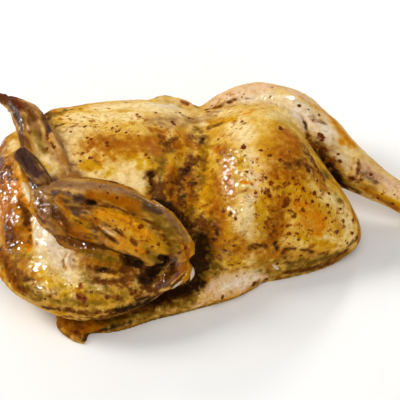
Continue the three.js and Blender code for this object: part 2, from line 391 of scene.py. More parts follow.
# How strongly each point feels a line: exp(-(distance / radius)^2), 1 on the line itself, fading
# near its ends over the taper in mm, or over a third of a short line.
def lineShare(points, dots, radius, taper=0.0):
    line = laidLine(dots)
    share = np.zeros(len(points))
    reach = strokes["reach"] * radius
    if len(line) == 0:
        return share
    length = np.linalg.norm(np.diff(line, axis=0), axis=1).sum()
    fromEnd = length * np.minimum(np.linspace(0, 1, len(line)), np.linspace(1, 0, len(line)))
    fade = np.ones(len(line))
    if taper:
        fade = ease(fromEnd, -strokes["early"] * taper, min(taper, length / 3))
    near = np.flatnonzero(np.all((points > line.min(0) - reach) & (points < line.max(0) + reach), axis=1))
    close = points[near]
    for start, end, before, after in zip(line[:-1], line[1:], fade[:-1], fade[1:]):
        way = end - start
        if np.linalg.norm(way) > strokes["leap"]:
            continue
        t = np.clip((close - start) @ way / max(way @ way, tiny), 0, 1)
        gap = np.linalg.norm(close - start - t[:, None] * way, axis=1)
        felt = (before + t * (after - before)) * np.exp(-(gap / radius) ** 2)
        share[near] = np.maximum(share[near], felt)
    return share


# How much each point belongs to a form, from 1 inside to 0 outside, by its distance from the path
# in half sizes.
def formShare(points, name, inner=1.15, outer=1.45):
    pathSteps = np.linspace(0.03, 0.97, 32)
    centre, side, thick, halfWidth, halfThick, closing = carriedFrame(forms[name], pathSteps)
    apart = np.stack([((points - c) ** 2).sum(1) for c in centre], 1)
    k = apart.argmin(1)
    local = points - centre[k]
    a = (local * side[k]).sum(1) / halfWidth[k]
    b = (local * thick[k]).sum(1) / halfThick[k]
    return ease(np.hypot(a, b), outer, inner)


# the streaks of each skin: the form that they lie along, how many times longer than wide they are,
# and how far from the form, in its half sizes, they fade out
lies = {
    "wingSkin": ("forearm", 2.8, (3, 4)),
    "wingTip": ("hand", 3.2, (3, 4)),
    "birdSkin": ("drumstick", 2.6, (1.0, 1.6)),
}


# The place of each point squeezed along a form, for streaky patterns: less (1 - 1 / how long) of
# its way along the form from its first row.
def lieOf(points, form, long, reach):
    line = np.array(forms[form]["rows"])[:, :3]
    way = unit(line[-1] - line[0])
    along = (points - line[0]) @ way
    return points - ((1 - 1 / long) * formShare(points, form, *reach) * along)[:, None] * way


# The depth of each point in a hollow in mm: the way outwards from it to the smoothed skin.
def hollowOf(skin, width):
    rounds = int((width / skin["voxel"]) ** 2)
    return ((relaxed(skin, skin["points"], rounds) - skin["points"]) * skin["normals"]).sum(1)


# folds, creases and ridges by region: height in mm (a crease if negative), radius and dots
folds = {
    "leg": [
        (-1.8, 2.6, (262, 101), (282, 104), (302, 115), (314, 131)),
        (-2.6, 2.4, (304, 118), (307, 130), (311, 140)),
        (-3.4, 6, (308, 141), (315, 152), (321, 162), (327, 171), (332, 180)),
        (-1, 1.6, (205, 110), (222, 103), (243, 98), (262, 98)),
        (-0.7, 1.5, (206, 104), (222, 98), (236, 93)), (0.8, 1.8, (212, 107), (228, 101), (246, 96)),
        (0.8, 2.2, (306, 116), (318, 133), (328, 148)), (1.3, 1.5, (357, 158), (360, 170), (356, 182)),
        (-1.2, 5, (368, 172), (384, 184)), (0.9, 1.8, (360, 182), (380, 194), (399, 204)),
        (-0.8, 1.6, (330, 166), (345, 178), (360, 184)), (0.5, 1.6, (264, 97), (290, 101), (312, 112)),
    ],
    "thigh": [
        (-1.6, 9, (333, 187), (300, 202), (272, 216), (257, 245)), (1.2, 14, (262, 118), (285, 140)),
        (1.3, 9, (245, 160), (243, 195), (232, 225)), (-0.8, 1.8, (345, 203), (351, 225), (346, 245)),
        (-0.6, 1.4, (336, 205), (342, 225), (338, 243)), (-0.5, 1.6, (262, 178), (285, 168), (305, 172)),
        (-0.5, 1.5, (288, 195), (304, 189)), (-0.9, 3, (252, 248), (277, 248), (320, 254)),
        (0.6, 2.5, (215, 240), (235, 262), (262, 262)), (1, 2.4, (200, 300), (230, 296), (262, 285)),
        (-0.7, 1.8, (208, 273), (222, 270), (256, 268)),
    ],
    "valley": [
        (-2.4, 9, (203, 118), (195, 150), (186, 185), (190, 215), (203, 250)),
        (0.5, 2, (163, 132), (160, 152), (166, 176)), (-0.5, 1.8, (168, 138), (166, 160), (160, 190)),
        (1, 2, (177, 145), (172, 170), (166, 192)), (-0.7, 1.6, (183, 150), (180, 175), (172, 200)),
        (0.9, 1.8, (200, 140), (196, 165), (188, 195)), (-0.7, 1.6, (206, 150), (203, 175), (196, 205)),
        (0.4, 2, (214, 150), (210, 180), (203, 212)), (-0.6, 1.6, (216, 175), (212, 205), (212, 235)),
        (-1.2, 2.5, (148, 168), (154, 182), (158, 196)),
    ],
    "breast": [
        (-1.2, 8, (70, 150), (95, 172), (150, 186)), (-0.5, 2, (60, 128), (75, 145), (95, 152)),
        (-0.5, 1.6, (92, 163), (112, 165), (122, 172)),
        (3.8, 3.4, (150, 101.6), (164, 102), (176, 104.4), (188, 107.6), (198, 109)),
        (0.4, 3, (100, 118), (130, 125), (155, 140)), (3.6, 8, (46, 121), (52, 117), (60, 113)),
    ],
    "front": [
        (-2.4, 2.6, (26, 198), (29, 215), (29, 250)), (1.6, 9, (8, 170), (16, 200), (14, 235)),
        (1.4, 1.6, (19, 150), (23, 180), (32, 206)), (-0.8, 1.8, (2, 190), (16, 186)),
        (-0.8, 1.8, (2, 216), (20, 210)), (0.8, 1.8, (6, 232), (22, 226)), (-0.8, 1.6, (4, 244), (22, 240)),
        (-0.9, 2, (0, 150), (10, 160), (14, 175)), (4, 8, (-2, 156), (5, 147), (13, 140)),
    ],
    "shoulder": [
        (-1, 1.8, (0, 262), (12, 276), (30, 292), (52, 303)), (-0.8, 1.6, (6, 255), (22, 272), (44, 286)),
        (-0.9, 1.8, (56, 306), (85, 311), (115, 306)), (-0.7, 1.5, (75, 280), (100, 282), (135, 280)),
        (0.7, 1.8, (70, 284), (96, 290), (128, 286)), (-0.7, 1.6, (24, 300), (50, 309)),
        (0.6, 2.2, (38, 286), (58, 289)), (-0.5, 1.4, (88, 292), (112, 300)),
        (-1.1, 2, (145, 276), (140, 290)), (0.9, 3, (42, 240), (52, 262)),
        (1.2, 1.2, (72, 252), (67, 259), (68, 266), (75, 271)),
        (-0.9, 1.2, (67, 252), (63, 261), (65, 270)), (-0.8, 2, (74, 258), (75, 264)),
        (1.6, 2.6, (82, 254), (98, 260), (116, 266)), (-1.3, 1.8, (88, 270), (110, 271), (142, 276)),
    ],
    "paddle": [
        (1.8, 3.2, (66, 190), (90, 189), (114, 193), (138, 203), (158, 214), (178, 232), (187, 248)),
        (0.7, 1.1, (80, 180), (112, 183), (140, 193), (165, 209)),
        (-0.5, 1.1, (84, 184), (114, 187), (142, 198), (164, 213)),
        (-2.6, 2.6, (62, 204), (84, 203), (100, 203), (116, 206), (134, 214), (152, 225), (168, 240),
         (175, 252)),
        (-1.8, 1.8, (84, 201), (94, 203)),
        (2, 4.2, (78, 215), (104, 216), (126, 224), (146, 235), (160, 246)),
        (1.3, 1.3, (98, 226), (110, 233), (122, 241)), (1.1, 1.2, (107, 219), (121, 227), (136, 237)),
        (-1.6, 1.1, (99, 230), (108, 237), (118, 244)), (-1.4, 1.1, (102, 222), (116, 230), (128, 240)),
        (-1, 1, (114, 216), (132, 225), (148, 238)), (0.8, 1.1, (118, 213), (136, 221), (150, 232)),
        (-2.6, 1.9, (58, 226), (66, 237), (80, 243), (98, 247), (114, 254), (132, 261), (144, 265)),
        (1.8, 2.6, (62, 214), (70, 226), (86, 234), (98, 240)),
        (-1.2, 1.3, (72, 219), (84, 225), (96, 231)), (-1.6, 1.8, (124, 260), (137, 263)),
        (1.3, 2.4, (40, 190), (48, 198), (50, 208)), (1, 2, (34, 200), (40, 212)),
        (1, 1.8, (56, 192), (60, 202)), (-1.4, 2.4, (55, 213), (62, 226)), (-1, 1.6, (44, 204), (54, 206)),
        (-1, 2, (34, 188), (50, 183), (68, 184)),
    ],
    "elbow": [
        (-3.6, 3, (149, 276), (154, 272), (160, 267)),
        (-3.6, 1.5, (161, 257), (167, 259), (167, 264), (162, 268)),
        (-1.8, 2, (127, 259), (134, 262), (141, 264)), (2, 2, (174, 248), (184, 256), (186, 263)),
        (-1.4, 1.6, (171, 262), (174, 268), (168, 276)), (1.2, 1.2, (176, 270), (171, 278), (163, 284)),
        (1.6, 1.4, (159, 261), (164, 261)), (-5.5, 9.5, (193, 273), (188, 281), (181, 287)),
    ],
    "hand": [
        (0.8, 1.3, (8, 98), (20, 112), (25, 130), (28, 150)),
        (1, 1.3, (22, 99), (38, 109), (48, 125), (60, 150), (72, 178)),
        (-1.1, 3, (28, 108), (36, 125), (46, 160)), (-0.5, 1.1, (40, 122), (50, 146), (58, 172)),
        (-0.7, 1.3, (24, 118), (28, 138), (34, 156)), (0.5, 1.4, (33, 130), (38, 150)),
        (-0.4, 1, (12, 97), (26, 106), (36, 118)),
    ],
    "rumpSkin": [
        (1.5, 1.5, (255, 286), (259, 285)), (-1, 1.3, (247, 289), (250, 287)),
        (1.1, 1.3, (236, 292), (239, 291)), (-0.9, 1.2, (229, 295), (232, 293)),
        (1, 1.3, (214, 299), (218, 298)), (-0.8, 1.2, (206, 302), (209, 300)),
        (-1.2, 1.6, (264, 282), (268, 280)),
    ],
    "underWing": [
        (-1, 2.2, (62, 316), (100, 321), (140, 310)), (0.9, 2, (66, 318), (76, 328), (84, 338)),
        (0.5, 1.4, (80, 320), (96, 332)), (-0.6, 1.8, (110, 318), (160, 306)),
        (-0.6, 1.4, (60, 320), (72, 334)),
    ],
}
# the skins that each region of folds and of paint lies on
regionSkins = {
    "breast": ("birdSkin",), "valley": ("birdSkin",), "thigh": ("birdSkin",), "leg": ("birdSkin",),
    "rumpSkin": ("birdSkin",), "front": ("birdSkin",), "web": ("birdSkin",), "underWing": ("birdSkin",),
    "holeShadows": ("birdSkin",), "shoulder": ("birdSkin", "wingSkin"), "elbow": ("wingSkin", "birdSkin"),
    "paddle": ("wingSkin", "wingTip"), "hand": ("wingTip", "wingSkin"),
}
relief = {
    "crinkle": (3.8, 0.95),  # width and depth of crinkles on the wing, the front and the folds
    "fine": (2.4, 0.35),     # the same for the finer crinkles between them
    "grain": (3.4, 0.1, 12),  # width, depth and seed of the unevenness everywhere
    "quill": (3.2, 0.45, 20),  # size, height and seed of the quill bumps on the feather ridge
    "quillTops": (0.1, 0.7),  # where in their noise they begin and are full
    "bend": (9, 2.5, (4, 5, 6)),  # over what width and how far the crinkles wander, and the seeds
    "foot": (0.5, 5),        # heights between which the relief fades in above the table
    "taper": 9,              # how far it takes a fold to rise, at each end
}


# Raised along the skin's own outward ways: the folds' heights, crinkles as ridged noise
# 1 - 2 |noise|, quills as the tops of a soft noise, and a fine grain.
def raiseRelief(skin, shares, folds):
    points = skin["points"]
    lift = sum(height * lineShare(points, dots, radius, relief["taper"])
               for region in folds.values() for height, radius, *dots in region)
    width, far, seeds = relief["bend"]
    bent = points + far * np.stack([softNoise(points, width, seed) for seed in seeds], 1)
    for key in ("crinkle", "fine"):
        width, depth = relief[key]
        lift += depth * shares["crinkle"] * (1 - 2 * np.abs(cloudNoise(bent, width, width)))
    width, depth, seed = relief["grain"]
    lift += depth * cloudNoise(points, width, seed)
    size, height, seed = relief["quill"]
    lift += height * shares["quill"] * ease(softNoise(points, size, seed), *relief["quillTops"])
    lift *= ease(points[:, 2], *relief["foot"])
    setPoints(skin, points + skin["normals"] * lift[:, None])


# what the roast has done to the skin, by region and layer: how strong, radius in mm, and dots; some
# strokes are painted shade in creases, holes and under the wing, and a few are painted highlights
paint = {
    "breast": {
        "golden": [(0.8, 8, (88, 138), (130, 141), (150, 145)), (0.75, 8, (85, 152), (130, 158))],
        # the pale spot at (201, 117) is a painted highlight
        "pale": [(0.8, 12, (72, 132), (105, 150), (135, 166)), (0.9, 8, (74, 118), (104, 117), (132, 116)),
            (0.9, 3, (201, 117), (203, 123)), (0.95, 8, (100, 108), (140, 106), (176, 112)),
            (0.6, 7, (60, 142), (76, 158)), (0.85, 7, (100, 173), (130, 177), (146, 187)),
            (0.6, 4, (86, 172), (96, 174))],
        "pink": [(0.4, 6, (156, 120), (172, 124))],
        "yellow": [(1, 3.6, (84, 165), (97, 165)), (0.5, 4, (138, 156), (143, 168)),
            (0.5, 4, (106, 174), (112, 170)), (0.5, 4, (150, 190), (152, 200)),
            (0.7, 5, (112, 152), (134, 156)), (0.7, 5, (148, 160), (152, 168))],
        # the greyBrown from (60, 150) is painted shadow beside the wing
        "greyBrown": [(0.3, 10, (64, 130), (76, 145)), (0.5, 7, (154, 122), (184, 122), (208, 116)),
            (0.2, 6, (186, 116), (205, 112)), (0.45, 5, (60, 150), (66, 160)),
            (0.4, 4, (148, 152), (156, 158))],
        "olive": [(0.6, 4, (162, 140), (170, 150)), (0.7, 2.5, (48, 120), (60, 117), (66, 113)),
            (0.55, 2.5, (48, 124), (56, 126)), (0.6, 3, (154, 180), (150, 196))],
        "amber": [(0.8, 8, (94, 142), (120, 146), (146, 144)), (0.6, 4, (50, 112), (64, 111), (80, 106)),
            (0.85, 5, (146, 144), (156, 150)), (0.5, 6, (100, 154), (122, 156)),
            (0.75, 3, (152, 130), (164, 132)), (0.6, 3, (48, 116), (58, 117)),
            (0.85, 5, (158, 138), (168, 146), (176, 146))],
        "ivory": [(0.7, 4, (150, 104), (174, 107))],
        "redBrown": [(0.7, 1.2, (180, 106), (187, 108))],
        "brown": [(0.85, 1.2, (57, 127), (64, 124)), (0.7, 1, (71, 127), (75, 126)),
            (0.55, 1.6, (150, 101.4), (164, 101.8), (176, 104), (188, 107.2), (197, 109)),
            (0.6, 3, (45, 112), (50, 122)), (0.8, 1.8, (147, 174), (155, 172)),
            (0.7, 1.6, (158, 134), (162, 140)), (0.8, 2.2, (168, 142), (176, 138)),
            (0.6, 2, (164, 150), (170, 146)), (0.6, 1.6, (184, 116), (192, 118)),
            (0.3, 3, (100, 138), (116, 140)), (0.55, 4, (162, 143), (172, 149)),
            (0.7, 3, (148, 177), (154, 180))],
        "char": [(1, 1.5, (150, 173), (153, 175)), (0.8, 0.9, (150, 178), (152, 184))],
    },
    "valley": {
        "golden": [(1, 4, (181, 128), (181, 150)), (0.9, 6, (156, 152), (162, 166), (168, 170)),
            (1, 6, (212, 135), (210, 165), (216, 200))],
        "pale": [(0.5, 5, (214, 138), (211, 165), (216, 182))],
        "yellow": [(0.8, 4, (182, 134), (180, 156)), (0.75, 4, (172, 152), (172, 166)),
            (0.7, 3, (200, 142), (198, 150)), (0.8, 4, (190, 204), (190, 216)),
            (0.6, 4, (210, 168), (212, 190)), (0.8, 5, (201, 150), (205, 180), (203, 208))],
        "olive": [(0.5, 5, (158, 150), (162, 178)), (0.5, 4, (204, 136), (201, 162), (202, 180)),
            (0.55, 4, (196, 126), (202, 134)), (0.9, 6, (210, 226), (208, 246), (212, 266)),
            (0.8, 4, (188, 206), (190, 218))],
        "amber": [(0.7, 5, (186, 138), (196, 146)), (0.9, 5, (174, 172), (172, 190), (178, 204)),
            (0.8, 5, (190, 176), (190, 198)), (0.75, 6, (214, 206), (218, 226), (216, 240)),
            (0.6, 4, (214, 176), (216, 192))],
        # the brown from (158, 188) is painted shade under the wing's ridge
        "brown": [(0.5, 4, (192, 134), (200, 140)), (0.95, 4, (194, 157), (190, 166), (184, 174)),
            (0.75, 4, (180, 180), (182, 196), (180, 212)), (0.6, 4, (192, 176), (192, 192)),
            (0.95, 6, (158, 188), (162, 202), (172, 210), (184, 222)), (0.55, 3, (172, 176), (172, 196)),
            (0.95, 4, (202, 222), (192, 228), (190, 236)), (0.8, 4, (203, 234), (204, 250)),
            (0.6, 3, (212, 218), (216, 230)), (0.5, 3, (210, 244), (212, 256)),
            (0.7, 2, (204, 134), (200, 140)), (0.6, 2, (208, 126), (220, 124))],
        # painted shadow: the black from (156, 202) under the wing's ridge, and from (201, 238) and (197, 272)
        # beside the elbow
        "char": [(0.9, 2.8, (156, 202), (168, 207), (180, 216), (188, 226)),
            (0.7, 1.8, (184, 172), (190, 164)), (0.6, 1.4, (180, 198), (186, 194)),
            (0.6, 1.2, (190, 184), (196, 182)), (1, 4.5, (201, 238), (202, 254), (203, 266)),
            (0.7, 1.2, (202, 136), (202, 141)), (1, 4, (197, 272), (192, 282), (186, 288)),
            (0.6, 2, (216, 232), (214, 238))],
    },
    "thigh": {
        "golden": [(0.8, 8, (256, 116), (276, 122)), (0.8, 5, (222, 262), (240, 258)),
            (0.3, 8, (240, 114), (284, 128)), (1.1, 9, (270, 134), (268, 150)),
            (0.9, 10, (285, 190), (310, 210), (330, 205)), (0.8, 7, (285, 238), (325, 236)),
            (0.7, 6, (230, 150), (226, 200)), (0.8, 8, (262, 142), (274, 150)),
            (0.9, 6, (272, 182), (300, 184)), (0.9, 7, (300, 192), (314, 200)),
            (0.9, 9, (222, 200), (222, 225), (226, 248)), (0.95, 6, (220, 154), (226, 180), (233, 206)),
            (0.8, 4, (236, 158), (238, 184), (242, 206)), (0.8, 7, (300, 256), (330, 248)),
            (0.8, 4, (262, 188), (264, 204)), (0.9, 6, (230, 236), (236, 256)),
            (0.8, 5, (218, 262), (226, 268))],
        # the pale from (246, 196) is partly the painted highlight on the crest of the fold
        "pale": [(0.7, 8, (250, 112), (266, 118), (286, 116)), (1, 9, (236, 122), (246, 136)),
            (0.5, 6, (260, 124), (268, 132)), (0.9, 7, (326, 194), (340, 206), (348, 220)),
            (0.8, 5, (346, 222), (350, 240)), (0.8, 5, (236, 212), (246, 236)),
            (0.85, 6, (246, 196), (248, 216), (240, 232)), (0.5, 4, (292, 240), (302, 248)),
            (0.8, 6, (216, 112), (232, 112)), (0.7, 5, (324, 238), (340, 246)),
            (0.6, 4, (285, 240), (310, 240)), (0.7, 4, (300, 242), (330, 240)),
            (0.35, 5, (276, 132), (290, 132)), (1, 7, (246, 156), (250, 184), (254, 200)),
            (0.75, 5, (218, 264), (236, 266), (252, 258))],
        "pink": [(0.6, 6, (254, 162), (257, 182), (262, 200)), (0.6, 5, (262, 176), (270, 166))],
        "yellow": [(0.6, 4, (232, 150), (244, 168)), (0.8, 4, (262, 200), (260, 222)),
            (0.7, 3, (300, 236), (318, 244), (334, 245)), (0.7, 5, (224, 262), (240, 264)),
            (0.6, 5, (218, 124), (234, 118)), (0.3, 4, (236, 108), (246, 106)),
            (0.7, 4, (222, 196), (228, 206)), (0.6, 5, (286, 186), (305, 190)),
            (0.7, 6, (216, 222), (224, 246)), (0.6, 3, (222, 158), (230, 196)),
            (0.8, 5, (268, 200), (266, 226))],
        "greyBrown": [(0.5, 4, (205, 115), (216, 112)), (0.45, 5, (300, 258), (322, 256))],
        "olive": [(0.75, 5, (292, 264), (318, 262), (338, 254)),
            (0.7, 3.5, (284, 272), (320, 268), (345, 254)), (0.5, 4, (262, 270), (280, 272)),
            (0.6, 3, (336, 196), (342, 204)), (0.5, 6, (262, 262), (286, 260))],
        "amber": [(0.8, 9, (288, 138), (296, 148)), (0.8, 8, (282, 154), (300, 160)),
            (0.75, 7, (275, 170), (300, 174)), (0.7, 6, (316, 170), (324, 184)),
            (0.9, 6, (276, 204), (280, 222), (272, 242)), (0.6, 6, (258, 254), (284, 252)),
            (0.5, 4, (214, 222), (222, 244)), (0.6, 6, (236, 240), (246, 252)),
            (0.65, 4, (216, 146), (224, 152)), (0.7, 2.5, (350, 205), (359, 228), (358, 244)),
            (0.6, 3, (328, 262), (350, 250))],
        "orange": [(0.35, 5, (286, 136), (296, 144)), (0.5, 5, (300, 190), (310, 196)),
            (0.95, 5, (302, 206), (314, 214), (320, 224)), (0.9, 1.6, (314, 233), (320, 234)),
            (0.85, 1.2, (242, 183), (254, 183)), (0.7, 2, (217, 149), (223, 148)),
            (0.4, 3, (226, 172), (222, 182)), (0.6, 2, (250, 192), (256, 193)),
            (0.55, 3, (246, 114), (254, 110)), (0.55, 4, (298, 222), (308, 226))],
        "ivory": [(0.6, 4, (228, 102), (250, 101)), (0.3, 4, (252, 168), (256, 190), (250, 215))],
        # the last brown, from (306, 150), is painted shade along the thigh's edge by the crease
        "brown": [(0.6, 4, (286, 166), (304, 162), (312, 172)), (0.35, 3, (278, 188), (288, 202)),
            (0.5, 5, (276, 216), (270, 236)), (0.95, 2.2, (252, 247), (266, 247)),
            (0.9, 1.6, (286, 250), (294, 249)), (0.9, 1.7, (303, 250), (312, 252)),
            (0.9, 1.4, (320, 254), (327, 253)), (0.7, 2.2, (328, 262), (346, 250), (356, 238)),
            (0.8, 3, (288, 272), (312, 268), (334, 262)), (0.3, 3, (236, 248), (228, 254)),
            (0.6, 2, (284, 256), (288, 262)), (0.65, 5, (306, 150), (313, 160), (322, 174))],
        "char": [(0.9, 1.7, (275, 243), (278, 249))],
    },
    "rumpSkin": {
        "pale": [(0.7, 6, (210, 286), (228, 278), (250, 272)), (0.6, 3, (190, 300), (206, 294))],
        "pink": [(1, 8, (216, 290), (240, 284), (258, 276)), (0.9, 3.5, (196, 305), (214, 298))],
        "olive": [(0.6, 4, (204, 276), (216, 272))],
        "orange": [(0.5, 3, (220, 288), (236, 292)), (0.4, 2, (200, 303), (232, 296))],
        "ivory": [(0.75, 5, (222, 288), (240, 283), (252, 276))],
        "brown": [(0.9, 1.6, (253, 284), (258, 281)), (0.6, 1.5, (214, 300), (222, 299)),
            (0.7, 3, (258, 288), (266, 280))],
    },
    "leg": {
        "pale": [(0.9, 6, (238, 92), (270, 94), (296, 104)), (0.8, 7, (330, 138), (346, 152)),
            (0.5, 6, (338, 150), (350, 168)), (0.5, 3, (370, 190), (396, 205))],
        "pink": [(0.9, 7, (212, 102), (240, 90), (270, 86)), (0.8, 5, (290, 90), (314, 102), (326, 114)),
            (1, 6, (364, 168), (382, 180), (400, 190))],
        "yellow": [(0.95, 2.4, (364, 186), (380, 195), (398, 205)), (0.6, 2, (309, 132), (311, 138))],
        # the greyBrowns from (326, 144) and (310, 124) are painted shade on the drumstick beside the crease
        "greyBrown": [(0.4, 4, (366, 168), (382, 178)), (0.5, 3, (358, 183), (374, 190)),
            (0.6, 7, (326, 144), (340, 160)), (0.5, 5, (310, 124), (330, 140))],
        "olive": [(0.6, 4, (318, 138), (324, 150)), (0.75, 3.6, (322, 168), (340, 180), (358, 190))],
        "amber": [(0.6, 2.5, (216, 108), (232, 103)), (0.5, 4, (330, 160), (346, 170)),
            (0.75, 2.5, (366, 190), (396, 208)), (0.7, 1.6, (362, 188), (380, 198), (398, 208))],
        "orange": [(1, 3.2, (334, 124), (341, 131)), (1, 2.6, (346, 139), (353, 145)),
            (0.8, 2, (331, 118), (352, 143)), (0.7, 2.2, (340, 142), (350, 146)),
            (0.5, 2, (300, 98), (324, 112))],
        "ivory": [(0.25, 4, (386, 180), (398, 188)), (0.6, 5, (240, 98), (270, 98), (292, 104)),
            (1, 8, (300, 110), (314, 122), (326, 132)), (0.8, 4, (300, 118), (306, 128)),
            (0.6, 4, (338, 156), (348, 168))],
        # the browns from (308, 137), (314, 147), (340, 182) and (344, 184) are painted shadow in the crease
        # between thigh and drumstick
        "brown": [(0.75, 1.3, (206, 110), (214, 108)), (0.6, 1.3, (216, 108), (236, 99)),
            (0.9, 1.6, (308, 137), (314, 145)), (1, 4.6, (314, 147), (320, 156), (327, 166), (335, 177)),
            (0.8, 3, (340, 182), (346, 188)), (0.8, 2.2, (344, 184), (358, 192)),
            (0.7, 1.2, (358, 160), (358, 174)), (0.8, 1.6, (350, 178), (362, 180)),
            (0.6, 2, (320, 166), (334, 162)), (0.5, 3, (312, 118), (322, 124))],
        "purple": [(0.5, 3, (362, 172), (376, 182))],
        # painted shadow: the black in the crease between thigh and drumstick
        "char": [(1.1, 3.2, (316, 150), (322, 159), (329, 168), (337, 178)),
            (0.8, 2, (338, 179), (346, 188))],
    },
    "front": {
        "golden": [(0.6, 6, (4, 190), (10, 236)), (0.7, 5, (18, 252), (34, 266))],
        "pale": [(0.8, 4, (12, 140), (16, 158)), (0.9, 1.5, (19, 156), (22, 182), (31, 206)),
            (0.5, 3, (4, 196), (12, 206))],
        "pink": [(0.3, 4, (10, 200), (14, 232))],
        "olive": [(0.6, 3, (0, 156), (6, 150)), (0.5, 6, (6, 250), (26, 262))],
        "amber": [(0.9, 9, (4, 165), (10, 200), (14, 240))],
        "orange": [(0.85, 5, (18, 180), (22, 206)), (0.9, 2.6, (26, 205), (29, 230), (29, 250)),
            (0.4, 7, (6, 178), (8, 220))],
        "brown": [(0.75, 3.5, (0, 160), (4, 180)), (0.85, 2.4, (20, 204), (27, 214), (27, 224)),
            (0.7, 4, (10, 224), (14, 246)), (0.6, 3, (8, 168), (14, 180))],
    },
    "web": {
        "golden": [(0.5, 2, (36, 232), (40, 238))],
        "pale": [(1, 7, (36, 216), (44, 240), (62, 254)), (0.9, 4, (66, 246), (68, 260))],
        "pink": [(0.5, 3, (52, 226), (60, 236))],
        "ivory": [(0.75, 7, (42, 226), (54, 248), (56, 264)), (0.7, 4, (34, 208), (38, 240), (44, 264)),
            (0.6, 4, (66, 248), (68, 260)), (0.9, 1.6, (26, 186), (30, 200), (34, 212)),
            (0.8, 4, (60, 250), (64, 262)), (0.6, 5, (50, 270), (66, 276))],
    },
    "shoulder": {
        "golden": [(0.7, 8, (30, 285), (80, 300), (120, 296)), (0.9, 4, (16, 258), (30, 270))],
        "pale": [(0.85, 5, (68, 272), (78, 284)), (0.6, 3, (72, 256), (78, 264)),
            (0.7, 3, (66, 254), (72, 262)), (0.9, 7, (30, 272), (52, 286), (70, 292)),
            (0.8, 6, (66, 276), (100, 288))],
        "pink": [(0.9, 2, (72, 253), (68, 260), (70, 268))],
        "yellow": [(0.6, 6, (40, 270), (64, 290)), (0.5, 4, (80, 290), (104, 300)),
            (0.6, 4, (86, 254), (120, 262))],
        "olive": [(0.45, 4, (88, 292), (112, 288)), (0.6, 4, (118, 298), (134, 294)),
            (0.4, 4, (84, 276), (104, 284)), (0.6, 7, (6, 262), (22, 282), (40, 298)),
            (0.75, 4, (84, 253), (100, 258), (124, 264)), (0.45, 4, (50, 300), (90, 304), (126, 296)),
            (0.35, 4, (60, 290), (72, 300))],
        "amber": [(0.6, 4, (86, 262), (110, 268), (130, 272)), (0.6, 3, (50, 268), (60, 272)),
            (0.5, 5, (20, 262), (34, 276)), (0.9, 5, (4, 256), (10, 272), (18, 288)),
            (0.6, 1.2, (66, 253), (63, 261), (66, 270))],
        "redBrown": [(1.2, 2, (80, 296), (84, 299))],
        # the brown from (60, 316) is painted shade between the shoulder and the flap
        "brown": [(0.7, 4, (6, 262), (14, 278), (24, 292)), (0.9, 2.2, (18, 272), (26, 280)),
            (0.8, 1.8, (88, 267), (104, 270), (140, 274)),
            (0.8, 2, (34, 307), (60, 309), (90, 314), (120, 309)),
            (0.85, 2.4, (94, 281), (112, 282), (134, 278)), (0.6, 1.5, (50, 296), (56, 294)),
            (0.6, 3, (0, 250), (4, 266)), (0.8, 3, (146, 284), (156, 288)),
            (0.6, 2, (60, 316), (100, 320), (126, 313)), (0.95, 3.5, (124, 270), (140, 276), (150, 290)),
            (0.7, 3, (118, 282), (130, 286)), (0.8, 3, (138, 296), (156, 294))],
        "char": [(0.8, 1.6, (98, 270), (108, 269)), (0.6, 1.6, (136, 300), (152, 297))],
    },
    "paddle": {
        "golden": [(0.9, 6, (100, 214), (128, 222), (150, 236)), (0.8, 4, (110, 240), (140, 250)),
            (0.7, 5, (120, 214), (150, 224), (170, 244)), (0.7, 3, (62, 196), (72, 200))],
        "pale": [(0.75, 2.2, (143, 229), (151, 232)), (0.6, 2, (106, 209), (118, 211)),
            (0.5, 4, (148, 222), (154, 230)), (0.7, 1.6, (160, 259), (167, 260))],
        "pink": [(0.7, 4, (84, 188), (126, 194)), (0.85, 1.4, (100, 226), (110, 233), (121, 241)),
            (0.7, 1.3, (108, 227), (118, 233))],
        "yellow": [(0.9, 4, (104, 212), (124, 216), (140, 226)), (0.85, 5, (66, 210), (70, 228), (90, 240)),
            (0.6, 4, (150, 242), (166, 250)), (0.8, 4, (72, 222), (88, 230))],
        "greyBrown": [(0.95, 5, (56, 184), (80, 186), (110, 189), (140, 198)),
            (0.95, 5, (140, 200), (165, 214), (184, 238)), (0.9, 6, (38, 190), (46, 210)),
            (0.95, 3.5, (43, 181), (48, 188)), (0.8, 4, (72, 200), (96, 204))],
        "olive": [(0.7, 3, (132, 199), (150, 206)), (0.5, 5, (62, 208), (70, 226)),
            (0.7, 5, (158, 222), (170, 236), (176, 250)), (0.7, 4, (134, 206), (156, 214))],
        "amber": [(0.9, 5, (62, 218), (70, 230), (84, 238)), (0.8, 3.5, (90, 196), (116, 200), (136, 208)),
            (0.7, 4, (60, 200), (66, 216)), (0.7, 4, (60, 238), (90, 244)), (0.6, 3, (84, 216), (96, 222))],
        "orange": [(0.5, 5, (100, 214), (128, 222), (150, 236)), (0.5, 4, (110, 240), (140, 250))],
        "brown": [(0.6, 1.6, (84, 203), (112, 205), (140, 216), (158, 229)),
            (0.9, 1.8, (58, 236), (78, 246), (98, 247), (112, 253), (134, 260)),
            (0.95, 3, (56, 212), (64, 220), (68, 230)),
            (0.9, 1.1, (79, 178), (100, 181), (128, 187), (146, 198)),
            (0.7, 1.2, (98, 228), (108, 236), (118, 243)), (0.7, 1.3, (36, 212), (48, 228), (62, 244)),
            (0.6, 2, (66, 206), (80, 210), (96, 208)), (0.6, 1.5, (70, 232), (90, 238)),
            (0.5, 1.2, (170, 222), (182, 240), (186, 254)), (0.8, 1.3, (132, 240), (136, 245)),
            (0.5, 4, (40, 200), (46, 222))],
        "purple": [(0.7, 2.6, (76, 198), (86, 200)), (0.7, 2.6, (146, 208), (158, 213)),
            (0.35, 3, (50, 184), (70, 186))],
        "char": [(0.85, 1.4, (87, 201), (93, 202))],
    },
    "elbow": {
        "pale": [(1, 1.5, (159, 261), (165, 260))],
